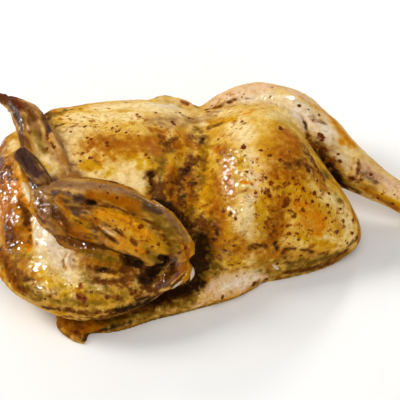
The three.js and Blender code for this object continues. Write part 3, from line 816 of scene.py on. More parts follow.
        "olive": [(0.8, 4, (146, 252), (156, 258))],
        "amber": [(0.9, 3, (184, 246), (189, 256), (186, 266)),
            (0.9, 2.4, (184, 270), (172, 282), (158, 288)), (0.5, 3, (130, 254), (144, 258))],
        "redBrown": [(0.7, 2.5, (170, 258), (176, 266), (178, 274))],
        # the last brown, from (190, 279), is painted shadow in the gap under the elbow
        "brown": [(0.9, 3.4, (172, 260), (174, 270), (166, 280)),
            (0.9, 3.5, (124, 258), (136, 263), (146, 268)), (0.9, 4, (148, 280), (158, 284), (166, 284)),
            (0.95, 3, (190, 279), (182, 287), (168, 293), (150, 297))],
        # painted shadow: black in the elbow's holes
        "char": [(1.2, 3.2, (149, 276), (154, 272), (160, 267)),
            (1.2, 1.7, (161, 257), (167, 259), (167, 264), (162, 268)),
            (1.1, 2, (128, 259), (134, 262), (140, 264))],
    },
    # painted shadow: black in the holes at the elbow and in the gap between the elbow and the back
    "holeShadows": {
        "char": [(1.2, 4, (157, 266), (152, 273), (146, 279)), (1.1, 3, (164, 259), (166, 264)),
            (1.1, 3, (128, 259), (140, 264)), (1.2, 4, (195, 256), (197, 268), (193, 282))],
    },
    "hand": {
        "golden": [(0.4, 3, (30, 140), (38, 170))],
        # the first pale, at (30, 106), is a painted highlight on the hand's grey middle
        "pale": [(0.5, 2, (30, 106), (34, 112)), (0.95, 4, (37, 136), (44, 156), (52, 172))],
        "pink": [(0.5, 2, (48, 126), (58, 150), (68, 176))],
        "yellow": [(0.5, 3, (44, 164), (50, 170))],
        "greyBrown": [(0.95, 3, (22, 102), (33, 110)), (0.9, 4, (32, 116), (38, 132)),
            (0.6, 4, (52, 160), (60, 176)), (0.3, 4, (34, 130), (46, 160)),
            (0.7, 3.5, (38, 172), (46, 180))],
        "olive": [(0.6, 4, (36, 130), (44, 150))],
        "amber": [(0.35, 2.5, (56, 146), (68, 168)), (0.7, 2.2, (26, 136), (30, 150)),
            (0.6, 2, (44, 116), (50, 132)), (0.6, 2, (46, 128), (54, 148))],
        "redBrown": [(1, 4.2, (0, 94), (12, 98), (20, 108)), (0.6, 2, (18, 108), (20, 122))],
        "brown": [(0.95, 3, (0, 98), (12, 104), (20, 120), (22, 146)),
            (0.8, 1.8, (24, 98), (38, 108), (44, 120)), (0.7, 1.6, (28, 116), (30, 132)),
            (0.8, 3, (22, 106), (34, 118)), (0.5, 2, (26, 136), (30, 150)),
            (0.8, 1.1, (47, 132), (48, 138)), (0.8, 1.1, (51, 143), (54, 148)),
            (0.7, 1.2, (38, 126), (40, 134)), (0.6, 0.9, (29, 152), (38, 167), (47, 180)),
            (0.75, 1.2, (34, 186), (48, 183))],
        "purple": [(0.8, 2.2, (12, 106), (22, 122)), (0.62, 1.7, (38, 107), (44, 119), (49, 132)),
            (1.05, 4.6, (20, 152), (30, 166), (36, 174))],
        "char": [(0.6, 1, (23, 158), (28, 170))],
    },
    "underWing": {
        "golden": [(0.5, 2, (60, 324), (66, 330))],
        "pale": [(0.7, 1.2, (80, 331), (85, 330))],
        "yellow": [(0.7, 4, (70, 322), (96, 326), (120, 318))],
        "olive": [(0.9, 6, (80, 322), (120, 316), (150, 308)), (0.8, 5, (150, 306), (190, 300))],
        "amber": [(0.9, 5, (60, 318), (76, 330), (96, 326))],
        # the brown from (100, 318) is partly painted shadow under the wing
        "brown": [(0.6, 4, (72, 320), (92, 318)), (0.85, 4, (100, 318), (150, 304), (186, 292)),
            (0.8, 2, (72, 330), (80, 336)), (0.6, 1.5, (54, 316), (60, 328))],
        # the black from (120, 310) and from (168, 288) is painted shadow under the wing
        "char": [(0.95, 4, (120, 310), (160, 298), (200, 284)),
            (0.7, 1.6, (84, 338), (90, 334), (130, 322)), (0.8, 1.5, (84, 340), (88, 336)),
            (0.8, 2.6, (168, 288), (198, 278))],
    },
}
# single dark spots by region: strength, radius in mm, and the dots that have both
spots = {
    "breast": [
        (1, 1.2, (137, 115), (139, 117), (174, 124)), (1, 1.1, (107, 143), (107, 146), (85, 127)),
        (1, 1, (91, 139)), (0.9, 1.2, (172, 122), (90, 157), (189, 118)), (0.9, 0.9, (72, 111)),
        (0.9, 0.8, (146, 155), (149, 158)), (0.8, 1.1, (80, 160)), (0.8, 1, (87, 138), (180, 113)),
        (0.8, 0.9, (88, 143), (83, 152), (112, 128), (116, 132), (126, 133), (80, 109), (109, 109)),
        (0.8, 0.8, (153, 163), (119, 131), (104, 155), (68, 117), (138, 136), (156, 113)),
        (0.7, 0.8, (95, 110), (92, 116)),
    ],
    "thigh": [
        (1, 2.1, (287, 203)), (1, 1.9, (244, 148)), (1, 1.8, (267, 192), (295, 216)), (1, 1.6, (280, 130),
        (291, 212)), (1, 1.4, (316, 193)), (0.9, 1.6, (308, 170)), (0.9, 1.5, (281, 161)),
        (0.9, 1.4, (270, 156), (271, 183), (304, 210)), (0.9, 1.3, (270, 196), (304, 189), (285, 207),
        (337, 232), (283, 253), (231, 214), (214, 234), (225, 250)), (0.9, 1.2, (242, 122), (266, 178),
        (285, 184), (278, 187), (328, 205), (343, 221), (289, 234), (270, 219), (224, 211), (236, 218),
        (220, 259)), (0.9, 1.1, (314, 201), (352, 233)), (0.9, 1, (261, 151)), (0.8, 1.2, (286, 163),
        (353, 220), (282, 226), (273, 230), (234, 245)), (0.8, 1.1, (330, 193), (278, 263), (340, 209),
        (347, 243)), (0.8, 1, (329, 212), (309, 230), (301, 256), (276, 266), (232, 264), (299, 174),
        (293, 178), (278, 176), (318, 180), (324, 172)), (0.8, 0.9, (239, 262)), (0.7, 1, (245, 157),
        (248, 173)), (0.7, 0.9, (253, 163), (326, 218), (332, 222)),
    ],
    "leg": [
        (1, 1.8, (320, 136)), (1, 1.5, (322, 139)), (0.9, 1.4, (325, 150), (352, 179)),
        (0.9, 1.2, (340, 161), (208, 112), (358, 182), (371, 174)), (0.9, 1.1, (320, 154), (299, 106)),
        (0.8, 1.2, (393, 203)), (0.8, 1, (334, 164), (378, 198), (316, 144)), (0.8, 0.9, (319, 115),
        (338, 154)), (0.8, 0.8, (244, 94), (272, 88)), (0.7, 0.9, (308, 110), (313, 121)),
    ],
    "wing": [
        (1, 1.4, (141, 227)), (0.9, 1.7, (107, 297)), (0.9, 1.6, (22, 276)), (0.9, 1.5, (118, 297)),
        (0.9, 1.4, (132, 293)), (0.9, 1.3, (134, 241), (152, 247), (80, 285)), (0.9, 1.2, (103, 245)),
        (0.9, 1.1, (158, 244)), (0.8, 1.2, (136, 291), (10, 281)), (0.8, 1.1, (34, 270), (75, 333),
        (47, 148)), (0.8, 1, (148, 252), (136, 251), (92, 291), (102, 281), (88, 305), (45, 299),
        (165, 240), (172, 246), (178, 252), (185, 248), (47, 135), (54, 147)), (0.7, 0.9, (100, 189),
        (108, 194), (117, 199)),
    ],
    "underWing": [
        (0.9, 1.2, (254, 283)), (0.8, 1.2, (222, 296)), (0.8, 1, (240, 292)),
    ],
}
# where the skin crinkles, is wet or matt, and holds herbs or burnt bits: as the paint above
textures = {
    "front": {
        "crinkle": [(1, 11, (5, 165), (12, 200), (12, 245))],
        "wet": [(1.15, 7, (5, 180), (13, 215), (15, 245))],
    },
    "web": {
        "crinkle": [(0.55, 6, (40, 225), (52, 250)), (0.8, 5, (36, 286), (60, 289))],
        "wet": [(1, 7, (38, 218), (52, 252), (42, 262)), (1, 4, (38, 286), (58, 288))],
    },
    "wrist": {
        "crinkle": [(0.9, 6, (34, 192), (48, 208), (54, 222))],
        "wet": [(1, 7, (34, 192), (48, 208), (56, 224)), (1, 3, (22, 118), (24, 132)),
            (0.9, 4, (10, 98), (20, 110)), (0.4, 3, (34, 168), (44, 180))],
    },
    "elbow": {
        "crinkle": [(0.9, 4, (172, 258), (178, 270), (164, 282)), (0.7, 4, (140, 284), (150, 282))],
        "wet": [(1, 5, (172, 258), (178, 270), (162, 282)), (0.9, 4, (84, 240), (70, 242))],
    },
    "thigh": {
        "crinkle": [(1, 10, (232, 150), (238, 185), (242, 222)),
            (0.6, 9, (216, 230), (222, 262), (245, 262)), (0.35, 14, (285, 195), (310, 215)),
            (0.5, 5, (212, 272), (256, 268))],
        "wet": [(1.6, 8.5, (235, 162), (240, 188), (248, 218)), (0.6, 8, (216, 225), (225, 255)),
            (0.7, 3, (264, 98), (300, 100), (316, 110))],
    },
    "valley": {
        "crinkle": [(0.6, 10, (188, 140), (184, 180), (196, 225))],
        "wet": [(0.3, 6, (184, 165), (192, 210))],
    },
    "shoulder": {
        "crinkle": [(0.7, 8, (10, 268), (40, 292), (100, 296), (140, 285))],
        "wet": [(0.6, 6, (70, 280), (110, 290))],
    },
    "paddle": {
        "crinkle": [(0.5, 10, (60, 210), (110, 225), (150, 240))],
        "wet": [(0.6, 8, (70, 235), (130, 255))],
    },
    "underWing": {
        "crinkle": [(0.7, 6, (70, 325), (130, 314), (190, 300))],
        "wet": [(0.6, 5, (66, 322), (86, 336))],
    },
    "matt": {
        "matt": [(1, 6, (60, 312), (100, 316), (130, 310), (160, 298), (196, 284)),
            (1, 14, (145, 112), (175, 112), (205, 122)), (0.8, 14, (250, 112), (285, 122)),
            (0.9, 8, (165, 140), (186, 150), (190, 180)), (0.7, 5, (0, 94), (10, 98)),
            (0.7, 6, (36, 136), (52, 168)), (1.2, 5, (204, 150), (208, 180), (212, 212)),
            (0.8, 7, (0, 262), (14, 284)), (0.6, 5, (62, 212), (74, 228)), (0.6, 3, (38, 180), (48, 188)),
            (0.8, 14, (80, 118), (130, 128)), (0.7, 10, (90, 150), (140, 160)),
            (1, 4, (302, 130), (312, 158), (326, 176), (342, 190)),
            (0.9, 4, (22, 154), (30, 167), (42, 182)), (0.7, 8, (292, 150), (300, 165)),
            (0.8, 9, (196, 160), (192, 200), (200, 240))],
    },
    "herbs": {
        "herbs": [(1, 14, (290, 180), (305, 205), (290, 235)), (0.9, 10, (262, 170), (266, 230)),
            (0.7, 9, (212, 215), (222, 255)), (0.6, 9, (186, 140), (186, 170), (192, 210)),
            (0.55, 8, (216, 145), (222, 180), (226, 215)), (0.3, 9, (240, 130), (225, 115)),
            (0.8, 6, (160, 130), (176, 150)), (0.45, 10, (60, 118), (110, 130), (140, 120)),
            (0.5, 8, (84, 150), (96, 160)), (0.8, 6, (314, 140), (330, 165)),
            (0.6, 9, (335, 210), (345, 235)), (0.7, 6, (356, 178), (385, 198)),
            (0.6, 9, (80, 292), (130, 290)), (0.5, 9, (15, 270), (40, 292)),
            (0.5, 10, (90, 215), (150, 240)), (0.6, 5, (180, 230), (184, 262)),
            (0.5, 4, (208, 118), (230, 110)), (0.5, 4, (206, 105), (240, 96)),
            (0.6, 7, (240, 245), (320, 252)), (0.5, 6, (60, 320), (120, 316))],
        "burnt": [(0.7, 6, (196, 225), (204, 262)), (0.7, 6, (164, 180), (170, 205)),
            (0.4, 7, (200, 150), (204, 200)), (0.6, 6, (120, 314), (160, 302), (196, 288)),
            (0.5, 5, (150, 272), (166, 264))],
    },
}


# the noises of the bare skin: width in mm and seed
clouds = {"broad": (30, 60), "patchy": (17, 47), "spotty": (9, 39), "chalky": (20, 60), "glowing": (14, 80)}
# where a mask runs from 0 to 1: the height over the table or the way along the bird, in mm, and for
# thumb and quill the inner and the outer edge of a form's mask, in its half sizes
edges = {
    "low": (16, 1), "neck": (-98, -116), "ankle": (117, 123),
    "thumb": (1.3, 1.7), "quill": (1.0, 1.6),
}
# what the skin looks like away from the strokes: the least share of each layer, and how much of each
# mask is added to it
ground = {
    "golden": (0.45, {"broad": 0.45, "blade": 0.4, "hand": -0.2}),
    "yellow": (0.3, {"patchy": 0.5}),
    "pale": (0.3, {"chalky": 0.5, "ankle": 0.4, "blade": -0.3}),
    "ivory": (0, {"ankle": 0.3, "leg": 0.3}),
    "pink": (0.05, {"broad": 0.2, "leg": 0.3}),
    "greyBrown": (0, {"blade": 0.3, "spotty": 0.12, "lowLeg": 0.2, "hand": 0.8}),
    "olive": (0, {"low": 0.5, "spotty": 0.25, "arm": 0.1}),
    "amber": (0.15, {"patchy": 0.45, "neck": 0.35, "blade": 0.35}),
    "orange": (0, {"neck": 0.35, "glowing": 0.35}),
    "redBrown": (0, {}),
    "brown": (0, {"low": 0.4, "spotty": 0.2, "neck": 0.3, "hand": 0.2}),
    "purple": (0, {"thumb": 0.9}),
    "char": (0, {"lowest": 0.12}),
    "crinkle": (0.25, {"spotty": 0.25, "neck": 0.6, "blade": 0.2, "arm": 0.1}),
    "wet": (0.18, {"patchy": 0.25, "neck": 0.5}),
    "herbs": (0.05, {"broad": 0.1, "low": 0.15}),
    "burnt": (0, {}),
    "matt": (0, {"low": 0.95}),
}
# painted shade in the hollows, with the juice that browns there: the deeper a hollow, the browner and then
# blacker its skin
hollowShadeAndJuice = {
    "width": 3.2,            # how wide a hollow is found, in mm
    "brown": 0.9,            # how brown it gets for each mm of its depth
    "char": 0.7,             # how black, for each mm of its depth
    "charFrom": 0.35,        # beyond this one
}
spotGain = 1.25              # makes the spots' middles solid


# The regions of a table that lie on a skin.
def regionsOn(name, table):
    return {region: rows for region, rows in table.items() if name in regionSkins[region]}


# The strongest share that each layer gets from its strokes, at every point.
def strokeShares(points, table):
    shares = {}
    for region in table.values():
        for layer, rows in region.items():
            for strength, radius, *dots in rows:
                share = strength * lineShare(points, dots, radius)
                shares[layer] = np.maximum(shares.get(layer, 0), share)
    return shares


# What the skin looks like away from the strokes: for each layer its least share + the sum of its
# masks, each times how much of it is added.
def groundShares(skin):
    points = skin["points"]
    masks = {name: cloudNoise(points, width, seed) for name, (width, seed) in clouds.items()}
    masks["low"] = ease(points[:, 2], *edges["low"])
    masks["lowest"] = masks["low"] ** 2
    for end in ("neck", "ankle"):
        masks[end] = ease(points[:, 0], *edges[end])
    for name, form in (("leg", "drumstick"), ("arm", "upperArm"), ("blade", "forearm")):
        masks[name] = formShare(points, form)
    masks["lowLeg"] = masks["leg"] * masks["low"]
    masks["thumb"] = formShare(points, "thumb", *edges["thumb"])
    masks["hand"] = formShare(points, "hand") * (1 - masks["thumb"])
    shares = {}
    for layer, (least, added) in ground.items():
        shares[layer] = np.full(len(points), float(least))
        for mask, amount in added.items():
            shares[layer] += amount * masks[mask]
    return shares


# The skin is painted before its relief is raised, and the deeper hollows are darkened after it with painted
# shade and the juice that browns there.
# Where a stroke lies, that much of what the noises gave is cleared away.
for name, skin in skins.items():
    if name == "gristle":
        continue
    points = skin["points"].copy()
    shares, zones = groundShares(skin), strokeShares(points, textures)
    painted = strokeShares(points, regionsOn(name, paint))
    bare = 1 - np.max(list(painted.values()), 0)
    for layer, share in shares.items():
        share = np.clip(share, 0, 1) * (1 if layer in zones else bare)
        shares[layer] = np.maximum(share, painted.get(layer, zones.get(layer, 0)))
    shares["spot"] = spotGain * np.max([strength * lineShare(points, [dot], radius) for rows in spots.values()
                                        for strength, radius, *dots in rows for dot in dots], 0)
    shares["quill"] = formShare(points, "featherRidge", *edges["quill"])
    storeValues(skin["mesh"], "lie", lieOf(points, *lies[name]) * mm)
    raiseRelief(skin, shares, regionsOn(name, folds))
    hollow = hollowOf(skin, hollowShadeAndJuice["width"])
    # painted shade: the deeper hollows are made brown and then black
    shares["brown"] = np.maximum(shares["brown"], hollowShadeAndJuice["brown"] * hollow)
    shares["char"] = np.maximum(shares["char"], hollowShadeAndJuice["char"] * (hollow - hollowShadeAndJuice["charFrom"]))
    skin["shares"] = {layer: np.clip(share, 0, 1) for layer, share in shares.items()}
    for layer, share in skin["shares"].items():
        storeValues(skin["mesh"], layer, share)
    print("stage:", name, "raised and painted in", len(skin["shares"]), "layers")


# A colour as a painter's program shows it, 0 to 255, to the linear values that Blender wants.
def paintColour(red, green, blue):
    values = [v / 255 for v in (red, green, blue)]
    return [v / 12.92 if v <= 0.04045 else ((v + 0.055) / 1.055) ** 2.4 for v in values] + [1.0]


# One node in a tree, with its sockets set from values or linked from other sockets. A socket without
# a name of its own is given as n and its number.
def put(tree, kind, settings=None, **sockets):
    node = tree.nodes.new(kind)
    for key, value in (settings or {}).items():
        setattr(node, key, value)
    for key, value in sockets.items():
        socket = node.inputs[int(key[1:])] if key[0] == "n" and key[1:].isdigit() else node.inputs[key]
        if isinstance(value, bpy.types.NodeSocket):
            tree.links.new(value, socket)
        else:
            socket.default_value = value
    return node


# A new material with its tree and its shader.
def newMaterial(name):
    material = bpy.data.materials.new(name)
    material.use_nodes = True
    return material, material.node_tree, material.node_tree.nodes["Principled BSDF"]


# One maths node on values or sockets, in the order of its inputs.
def maths(tree, operation, *values, clamp=False):
    numbered = {f"n{i}": value for i, value in enumerate(values)}
    node = put(tree, "ShaderNodeMath", {"operation": operation, "use_clamp": clamp}, **numbered)
    return node.outputs[0]


# A node group with named sockets: an input of None is a vector, one with a number is a float.
def newGroup(name, inputs, outputs):
    group = bpy.data.node_groups.new(name, "ShaderNodeTree")
    for socket, value in inputs.items():
        kind = "NodeSocketVector" if value is None else "NodeSocketFloat"
        made = group.interface.new_socket(socket, in_out="INPUT", socket_type=kind)
        if value is not None:
            made.default_value = value
    for socket in outputs:
        group.interface.new_socket(socket, in_out="OUTPUT", socket_type="NodeSocketFloat")
    return group, group.nodes.new("NodeGroupInput"), group.nodes.new("NodeGroupOutput")


# A painted share with a ragged edge: share * (1 + ragged * (1.5 - share) * (4 noise - 2)), then an
# eased step around one half, so that nothing shows where the share is nought.
def raggedPatch():
    group, given, result = newGroup(
        "raggedPatch", {"Place": None, "Share": 0.5, "Grain": 120.0, "Ragged": 0.8, "Soft": 0.4}, ["Share"])
    share, soft = given.outputs["Share"], given.outputs["Soft"]
    noise = put(group, "ShaderNodeTexNoise", Vector=given.outputs["Place"], Scale=given.outputs["Grain"],
                Detail=3.0, Roughness=0.5).outputs["Fac"]
    wear = maths(group, "MULTIPLY", maths(group, "SUBTRACT", 1.5, share), given.outputs["Ragged"])
    factor = maths(group, "MULTIPLY_ADD", maths(group, "MULTIPLY_ADD", noise, 4.0, -2.0), wear, 1.0)
    step = put(group, "ShaderNodeMapRange", {"interpolation_type": "SMOOTHSTEP"})
    group.links.new(maths(group, "MULTIPLY", factor, share), step.inputs["Value"])
    group.links.new(maths(group, "SUBTRACT", 0.5, soft), step.inputs["From Min"])
    group.links.new(maths(group, "ADD", 0.5, soft), step.inputs["From Max"])
    group.links.new(step.outputs["Result"], result.inputs["Share"])
    return group


# the layers of the roasted skin, the first one lowest: colour, size of the ragged grain in mm,
# how ragged, how soft the edge, and how much it covers
layers = {
    "golden": ((198, 138, 14), 6, 0.5, 0.48, 0.85),
    "pale": ((242, 216, 158), 6, 0.45, 0.5, 1.0),
    "pink": ((230, 190, 152), 6, 0.4, 0.5, 0.95),
    "yellow": ((198, 140, 2), 4, 0.8, 0.45, 0.95),
    "greyBrown": ((142, 102, 62), 4, 0.6, 0.45, 0.95),
    "olive": ((104, 74, 8), 3.6, 0.8, 0.45, 0.95),
    "amber": ((160, 88, 2), 4, 0.7, 0.45, 0.95),
    "orange": ((210, 124, 6), 3.4, 0.8, 0.45, 0.95),
    "ivory": ((236, 220, 197), 5, 0.35, 0.5, 1.0),
    "redBrown": ((104, 40, 22), 4, 0.7, 0.4, 1.0),
    "brown": ((84, 42, 6), 2.8, 0.95, 0.45, 0.9),
    "purple": ((66, 42, 36), 3, 0.7, 0.4, 1.0),
    # black of burnt skin, which also paints the shadow in creases, holes, hollows and under the wing
    "char": ((34, 18, 5), 2.4, 0.8, 0.45, 0.95),
    "spot": ((96, 40, 8), 1.8, 0.9, 0.3, 0.95),
}
# small stains all over a zone: colour, grain in mm, the noise from which they show and are full,
# how much they cover, and the zone
stains = {
    "butter": ((226, 176, 52), 4.5, 0.5, 0.62, 0.7, "herbs"),
    "toasted": ((166, 90, 10), 3.4, 0.52, 0.64, 0.8, "herbs"),
    "crust": ((124, 56, 12), 3.4, 0.57, 0.64, 1.0, "herbs"),
    "fleck": ((92, 42, 10), 2.2, 0.635, 0.69, 1.2, "herbs"),
    "burnt": ((34, 18, 6), 2.0, 0.56, 0.66, 1.0, "burnt"),
}
finish = {
    "cream": (230, 192, 112),  # the skin below all layers
    "dye": 4.0,              # the layers are mixed as this root of their colours
    "stain": (5.0, 0.62),    # detail and roughness of the stains' noise
    "mottle": (170, 120, 44),
    "mottles": ((3.2, 0.18), (1.1, 0.07)),   # grain in mm and strength of the fine unevenness
    "mottled": (0.42, 0.66),  # the noise from which it shows and is full
    "mottleDetail": 3.0,
    "wetNoise": (6, 5.0, 0.6),  # grain in mm, detail and roughness of the wet patches
    "wetFrom": {"noise": 0.9, "matt": -0.8, "char": -0.7},   # what is added to the share of wet
    "wetness": (0.3, 1.3),   # the driest and the wettest skin, which set
    "roughness": (0.55, 0.06),  # how rough it is, from the driest to the wettest,
    "shine": (0.04, 0.6),    # and how much it mirrors,
    "shineFrom": 0.65,       # beyond this wetness
    "mattRough": 0.35,       # how much rougher the matt skin is
    "flesh": 0.1,            # light let through
    "fleshReach": (4.0, 1.8, 0.8),   # and how far, in mm
    "refraction": 1.4,
    "bump": 1.3,             # height of the finest bumps, in mm
    "bumps": (3.4, 0.6, 0.5, 0.3),   # grain in mm, detail, roughness and distortion of the broader ones
    "pores": (0.8, 2.0, 0.5),   # the same of the finest
    "poreDepth": 0.04,       # against the broader ones
    "bumpy": (0.15, 1.0, 0.12, 1.0),   # from which to which crinkle the bumps grow, and from and to what
}
gristle = {
    "tones": ((206, 176, 120), (206, 198, 184)), "from": (0.3, 0.6), "grain": 1.5, "detail": 2.0,
    "roughness": 0.22, "flesh": 0.2, "reach": 1.5,
}


# The layers are mixed as their roots, the fourth ones here, so that thin stains stay as rich as dyes do.
def pigment(red, green, blue):
    return [v ** (1 / finish["dye"]) for v in paintColour(red, green, blue)]


# Colour: the layers, then the stains and the mottles over one another. Wetness: the shares of wet,
# matt and char (burnt skin and painted shadow) and a noise, and from it the roughness and the shine.
# Bump: a noise that grows with the crinkles, and the pores.
def roastedSkin(ragged):
    material, tree, shader = newMaterial("roastedSkin")
    place = put(tree, "ShaderNodeTexCoord").outputs["Object"]
    lie = put(tree, "ShaderNodeAttribute", {"attribute_name": "lie"}).outputs["Vector"]

    def noise(size, detail, roughness=0.55, distortion=0.0):
        return put(tree, "ShaderNodeTexNoise", Vector=place, Scale=1 / (size * mm), Detail=detail,
                   Roughness=roughness, Distortion=distortion).outputs["Fac"]

    def share(name):
        return put(tree, "ShaderNodeAttribute", {"attribute_name": name}).outputs["Fac"]

    def mixed(cover, below, above, blend="MIX"):     # inputs 6 and 7 are the mix node's two colours
        settings = {"data_type": "RGBA", "blend_type": blend}
        return put(tree, "ShaderNodeMix", settings, n0=cover, n6=below, n7=above).outputs[2]

    def scaled(value, low, high, toLow, toHigh):
        ramp = put(tree, "ShaderNodeMapRange", {"interpolation_type": "SMOOTHSTEP"}, Value=value)
        for socket, number in (("From Min", low), ("From Max", high), ("To Min", toLow), ("To Max", toHigh)):
            ramp.inputs[socket].default_value = number
        return ramp.outputs["Result"]

    colour = pigment(*finish["cream"])
    for name, (tone, grain, raggedness, soft, cover) in layers.items():
        patch = put(tree, "ShaderNodeGroup", {"node_tree": ragged}, Place=lie, Share=share(name),
                    Grain=1 / (grain * mm), Ragged=raggedness, Soft=soft).outputs["Share"]
        colour = mixed(maths(tree, "MULTIPLY", patch, cover), colour, pigment(*tone))
    for tone, grain, low, high, cover, where in stains.values():
        marks = scaled(noise(grain, *finish["stain"]), low, high, 0.0, cover)
        marks = maths(tree, "MULTIPLY", marks, share(where), clamp=True)
        colour = mixed(marks, colour, pigment(*tone))
    for grain, strength in finish["mottles"]:
        marks = scaled(noise(grain, finish["mottleDetail"]), *finish["mottled"], 0.0, strength)
        colour = mixed(marks, colour, pigment(*finish["mottle"]), "MULTIPLY")
    colour = put(tree, "ShaderNodeGamma", Color=colour, Gamma=finish["dye"]).outputs["Color"]
    tree.links.new(colour, shader.inputs["Base Color"])

    added = finish["wetFrom"]
    wetness = maths(tree, "MULTIPLY_ADD", noise(*finish["wetNoise"]), added["noise"], share("wet"))
    for name in ("matt", "char"):
        wetness = maths(tree, "MULTIPLY_ADD", share(name), added[name], wetness)
    rough = scaled(wetness, *finish["wetness"], *finish["roughness"])
    rough = maths(tree, "MULTIPLY_ADD", share("matt"), finish["mattRough"], rough)
    shine = scaled(wetness, finish["shineFrom"], finish["wetness"][1], *finish["shine"])
    tree.links.new(rough, shader.inputs["Roughness"])
    tree.links.new(shine, shader.inputs["Specular IOR Level"])
    coarse = maths(tree, "MULTIPLY", noise(*finish["bumps"]), scaled(share("crinkle"), *finish["bumpy"]))
    height = maths(tree, "MULTIPLY_ADD", noise(*finish["pores"]), finish["poreDepth"], coarse)
    bump = put(tree, "ShaderNodeBump", Height=height, Strength=1.0, Distance=finish["bump"] * mm)
    tree.links.new(bump.outputs["Normal"], shader.inputs["Normal"])
    shader.inputs["Subsurface Weight"].default_value = finish["flesh"]
    shader.inputs["Subsurface Radius"].default_value = [r * mm for r in finish["fleshReach"]]
    shader.inputs["Subsurface Scale"].default_value = 1.0
    shader.inputs["IOR"].default_value = finish["refraction"]
    return material


def gristleWhite():
    material, tree, shader = newMaterial("gristle")
    place = put(tree, "ShaderNodeTexCoord").outputs["Object"]
    veins = put(tree, "ShaderNodeTexNoise", Vector=place, Scale=1 / (gristle["grain"] * mm),
                Detail=gristle["detail"])
    ramp = put(tree, "ShaderNodeValToRGB", Fac=veins.outputs["Fac"])
    for element, tone, start in zip(ramp.color_ramp.elements, gristle["tones"], gristle["from"]):
        element.color = paintColour(*tone)
        element.position = start
    tree.links.new(ramp.outputs["Color"], shader.inputs["Base Color"])
    shader.inputs["Roughness"].default_value = gristle["roughness"]
    shader.inputs["Subsurface Weight"].default_value = gristle["flesh"]
    shader.inputs["Subsurface Radius"].default_value = [gristle["reach"] * mm] * 3
    return material


skinMaterial = roastedSkin(raggedPatch())
for name, skin in skins.items():
    skin["mesh"].materials.clear()
    skin["mesh"].materials.append(gristleWhite() if name == "gristle" else skinMaterial)
print("stage: materials made")


herbs = {
    "count": 480, "seed": 11,
    "rim": 6,                # corners around each crumb
    "size": (0.35, 1.2),     # half lengths in mm
    "rare": 3,               # how rare the long ones are
    "narrow": (0.22, 0.8),   # half width against half length
    "uneven": (0.75, 1.25),  # how far each corner is out or in
    "thick": 0.16,           # half thickness in mm
    "thickest": 0.6,         # but never more than this share of the half width
    "tilt": 0.35,            # how far they lean out of the skin
    "lift": 0.05,            # how high they lie on it, in mm
    "lowest": 2,             # no crumbs lower than this over the table
    "facing": -0.3,          # nor where the skin faces down more than this
    "tones": ((84, 38, 10), (140, 68, 16), (104, 80, 22)), "middle": 0.55,
    "roughness": 0.6, "shine": 0.2,
}


# Crumbs of herb and pepper on the skins: each a flat hexagon with a point above and below, laid on
# a random point of the skin (a face drawn by its area times its share of herbs) and turned at random.
def herbCrumbs():
    random = np.random.default_rng(herbs["seed"])
    places, ups, weights = [], [], []
    for name, skin in skins.items():
        if name == "gristle":
            continue
        corners = skin["points"][skin["faces"]]
        across, along = corners[:, 2] - corners[:, 0], corners[:, 3] - corners[:, 1]
        normal = np.cross(across, along)
        area = np.linalg.norm(normal, axis=1)
        middle = corners.mean(1)
        share = skin["shares"]["herbs"][skin["faces"]].mean(1)
        fits = (middle[:, 2] > herbs["lowest"]) & (normal[:, 2] > herbs["facing"] * area)
        places.append(middle)
        ups.append(normal / np.maximum(area, tiny)[:, None])
        weights.append(area * share * fits)
    places, ups, weights = np.vstack(places), np.vstack(ups), np.concatenate(weights)
    chosen = random.choice(len(places), herbs["count"], p=weights / weights.sum())
    count, rim = len(chosen), herbs["rim"]
    up = unit(ups[chosen] + herbs["tilt"] * random.normal(0, 1, (count, 3)) * random.random((count, 1)))
    side = unit(np.cross(up, random.normal(0, 1, (count, 3))))
    other = np.cross(up, side)
    shortest, longest = herbs["size"]
    length = shortest + (longest - shortest) * random.random(count) ** herbs["rare"]
    width = length * random.uniform(*herbs["narrow"], count)
    i = np.arange(rim)
    angle = i * 2 * np.pi / rim
    uneven = random.uniform(*herbs["uneven"], (count, rim))
    corners = (side[:, None] * (length[:, None] * np.cos(angle) * uneven)[..., None]
               + other[:, None] * (width[:, None] * np.sin(angle) * uneven)[..., None])
    tops = up * np.minimum(herbs["thick"], width * herbs["thickest"])[:, None]
    base = places[chosen] + up * herbs["lift"]
    points = np.concatenate([base[:, None] + corners, (base + tops)[:, None], (base - tops)[:, None]], 1)
    after = (i + 1) % rim
    flake = np.vstack([np.stack([i, after, np.full(rim, rim)], 1),
                       np.stack([after, i, np.full(rim, rim + 1)], 1)])
    faces = (np.arange(count) * (rim + 2))[:, None, None] + flake
    piece = meshPiece("herbCrumbs", points.reshape(-1, 3), faces.reshape(-1, 3))
    piece.data.shade_flat()
    storeValues(piece.data, "tone", np.repeat(random.random(count), rim + 2))
    return piece


def herbBrown():
    material, tree, shader = newMaterial("herbs")
    tone = put(tree, "ShaderNodeAttribute", {"attribute_name": "tone"})
    ramp = put(tree, "ShaderNodeValToRGB", Fac=tone.outputs["Fac"])
    ramp.color_ramp.elements.new(herbs["middle"])
    for element, colour in zip(ramp.color_ramp.elements, herbs["tones"]):
        element.color = paintColour(*colour)
    tree.links.new(ramp.outputs["Color"], shader.inputs["Base Color"])
    shader.inputs["Roughness"].default_value = herbs["roughness"]
    shader.inputs["Specular IOR Level"].default_value = herbs["shine"]
    return material


crumbs = herbCrumbs()
crumbs.data.materials.append(herbBrown())
print("stage: herb crumbs,", len(crumbs.data.polygons), "faces")


tableGap = 1e-6              # metres over the table that count as on it


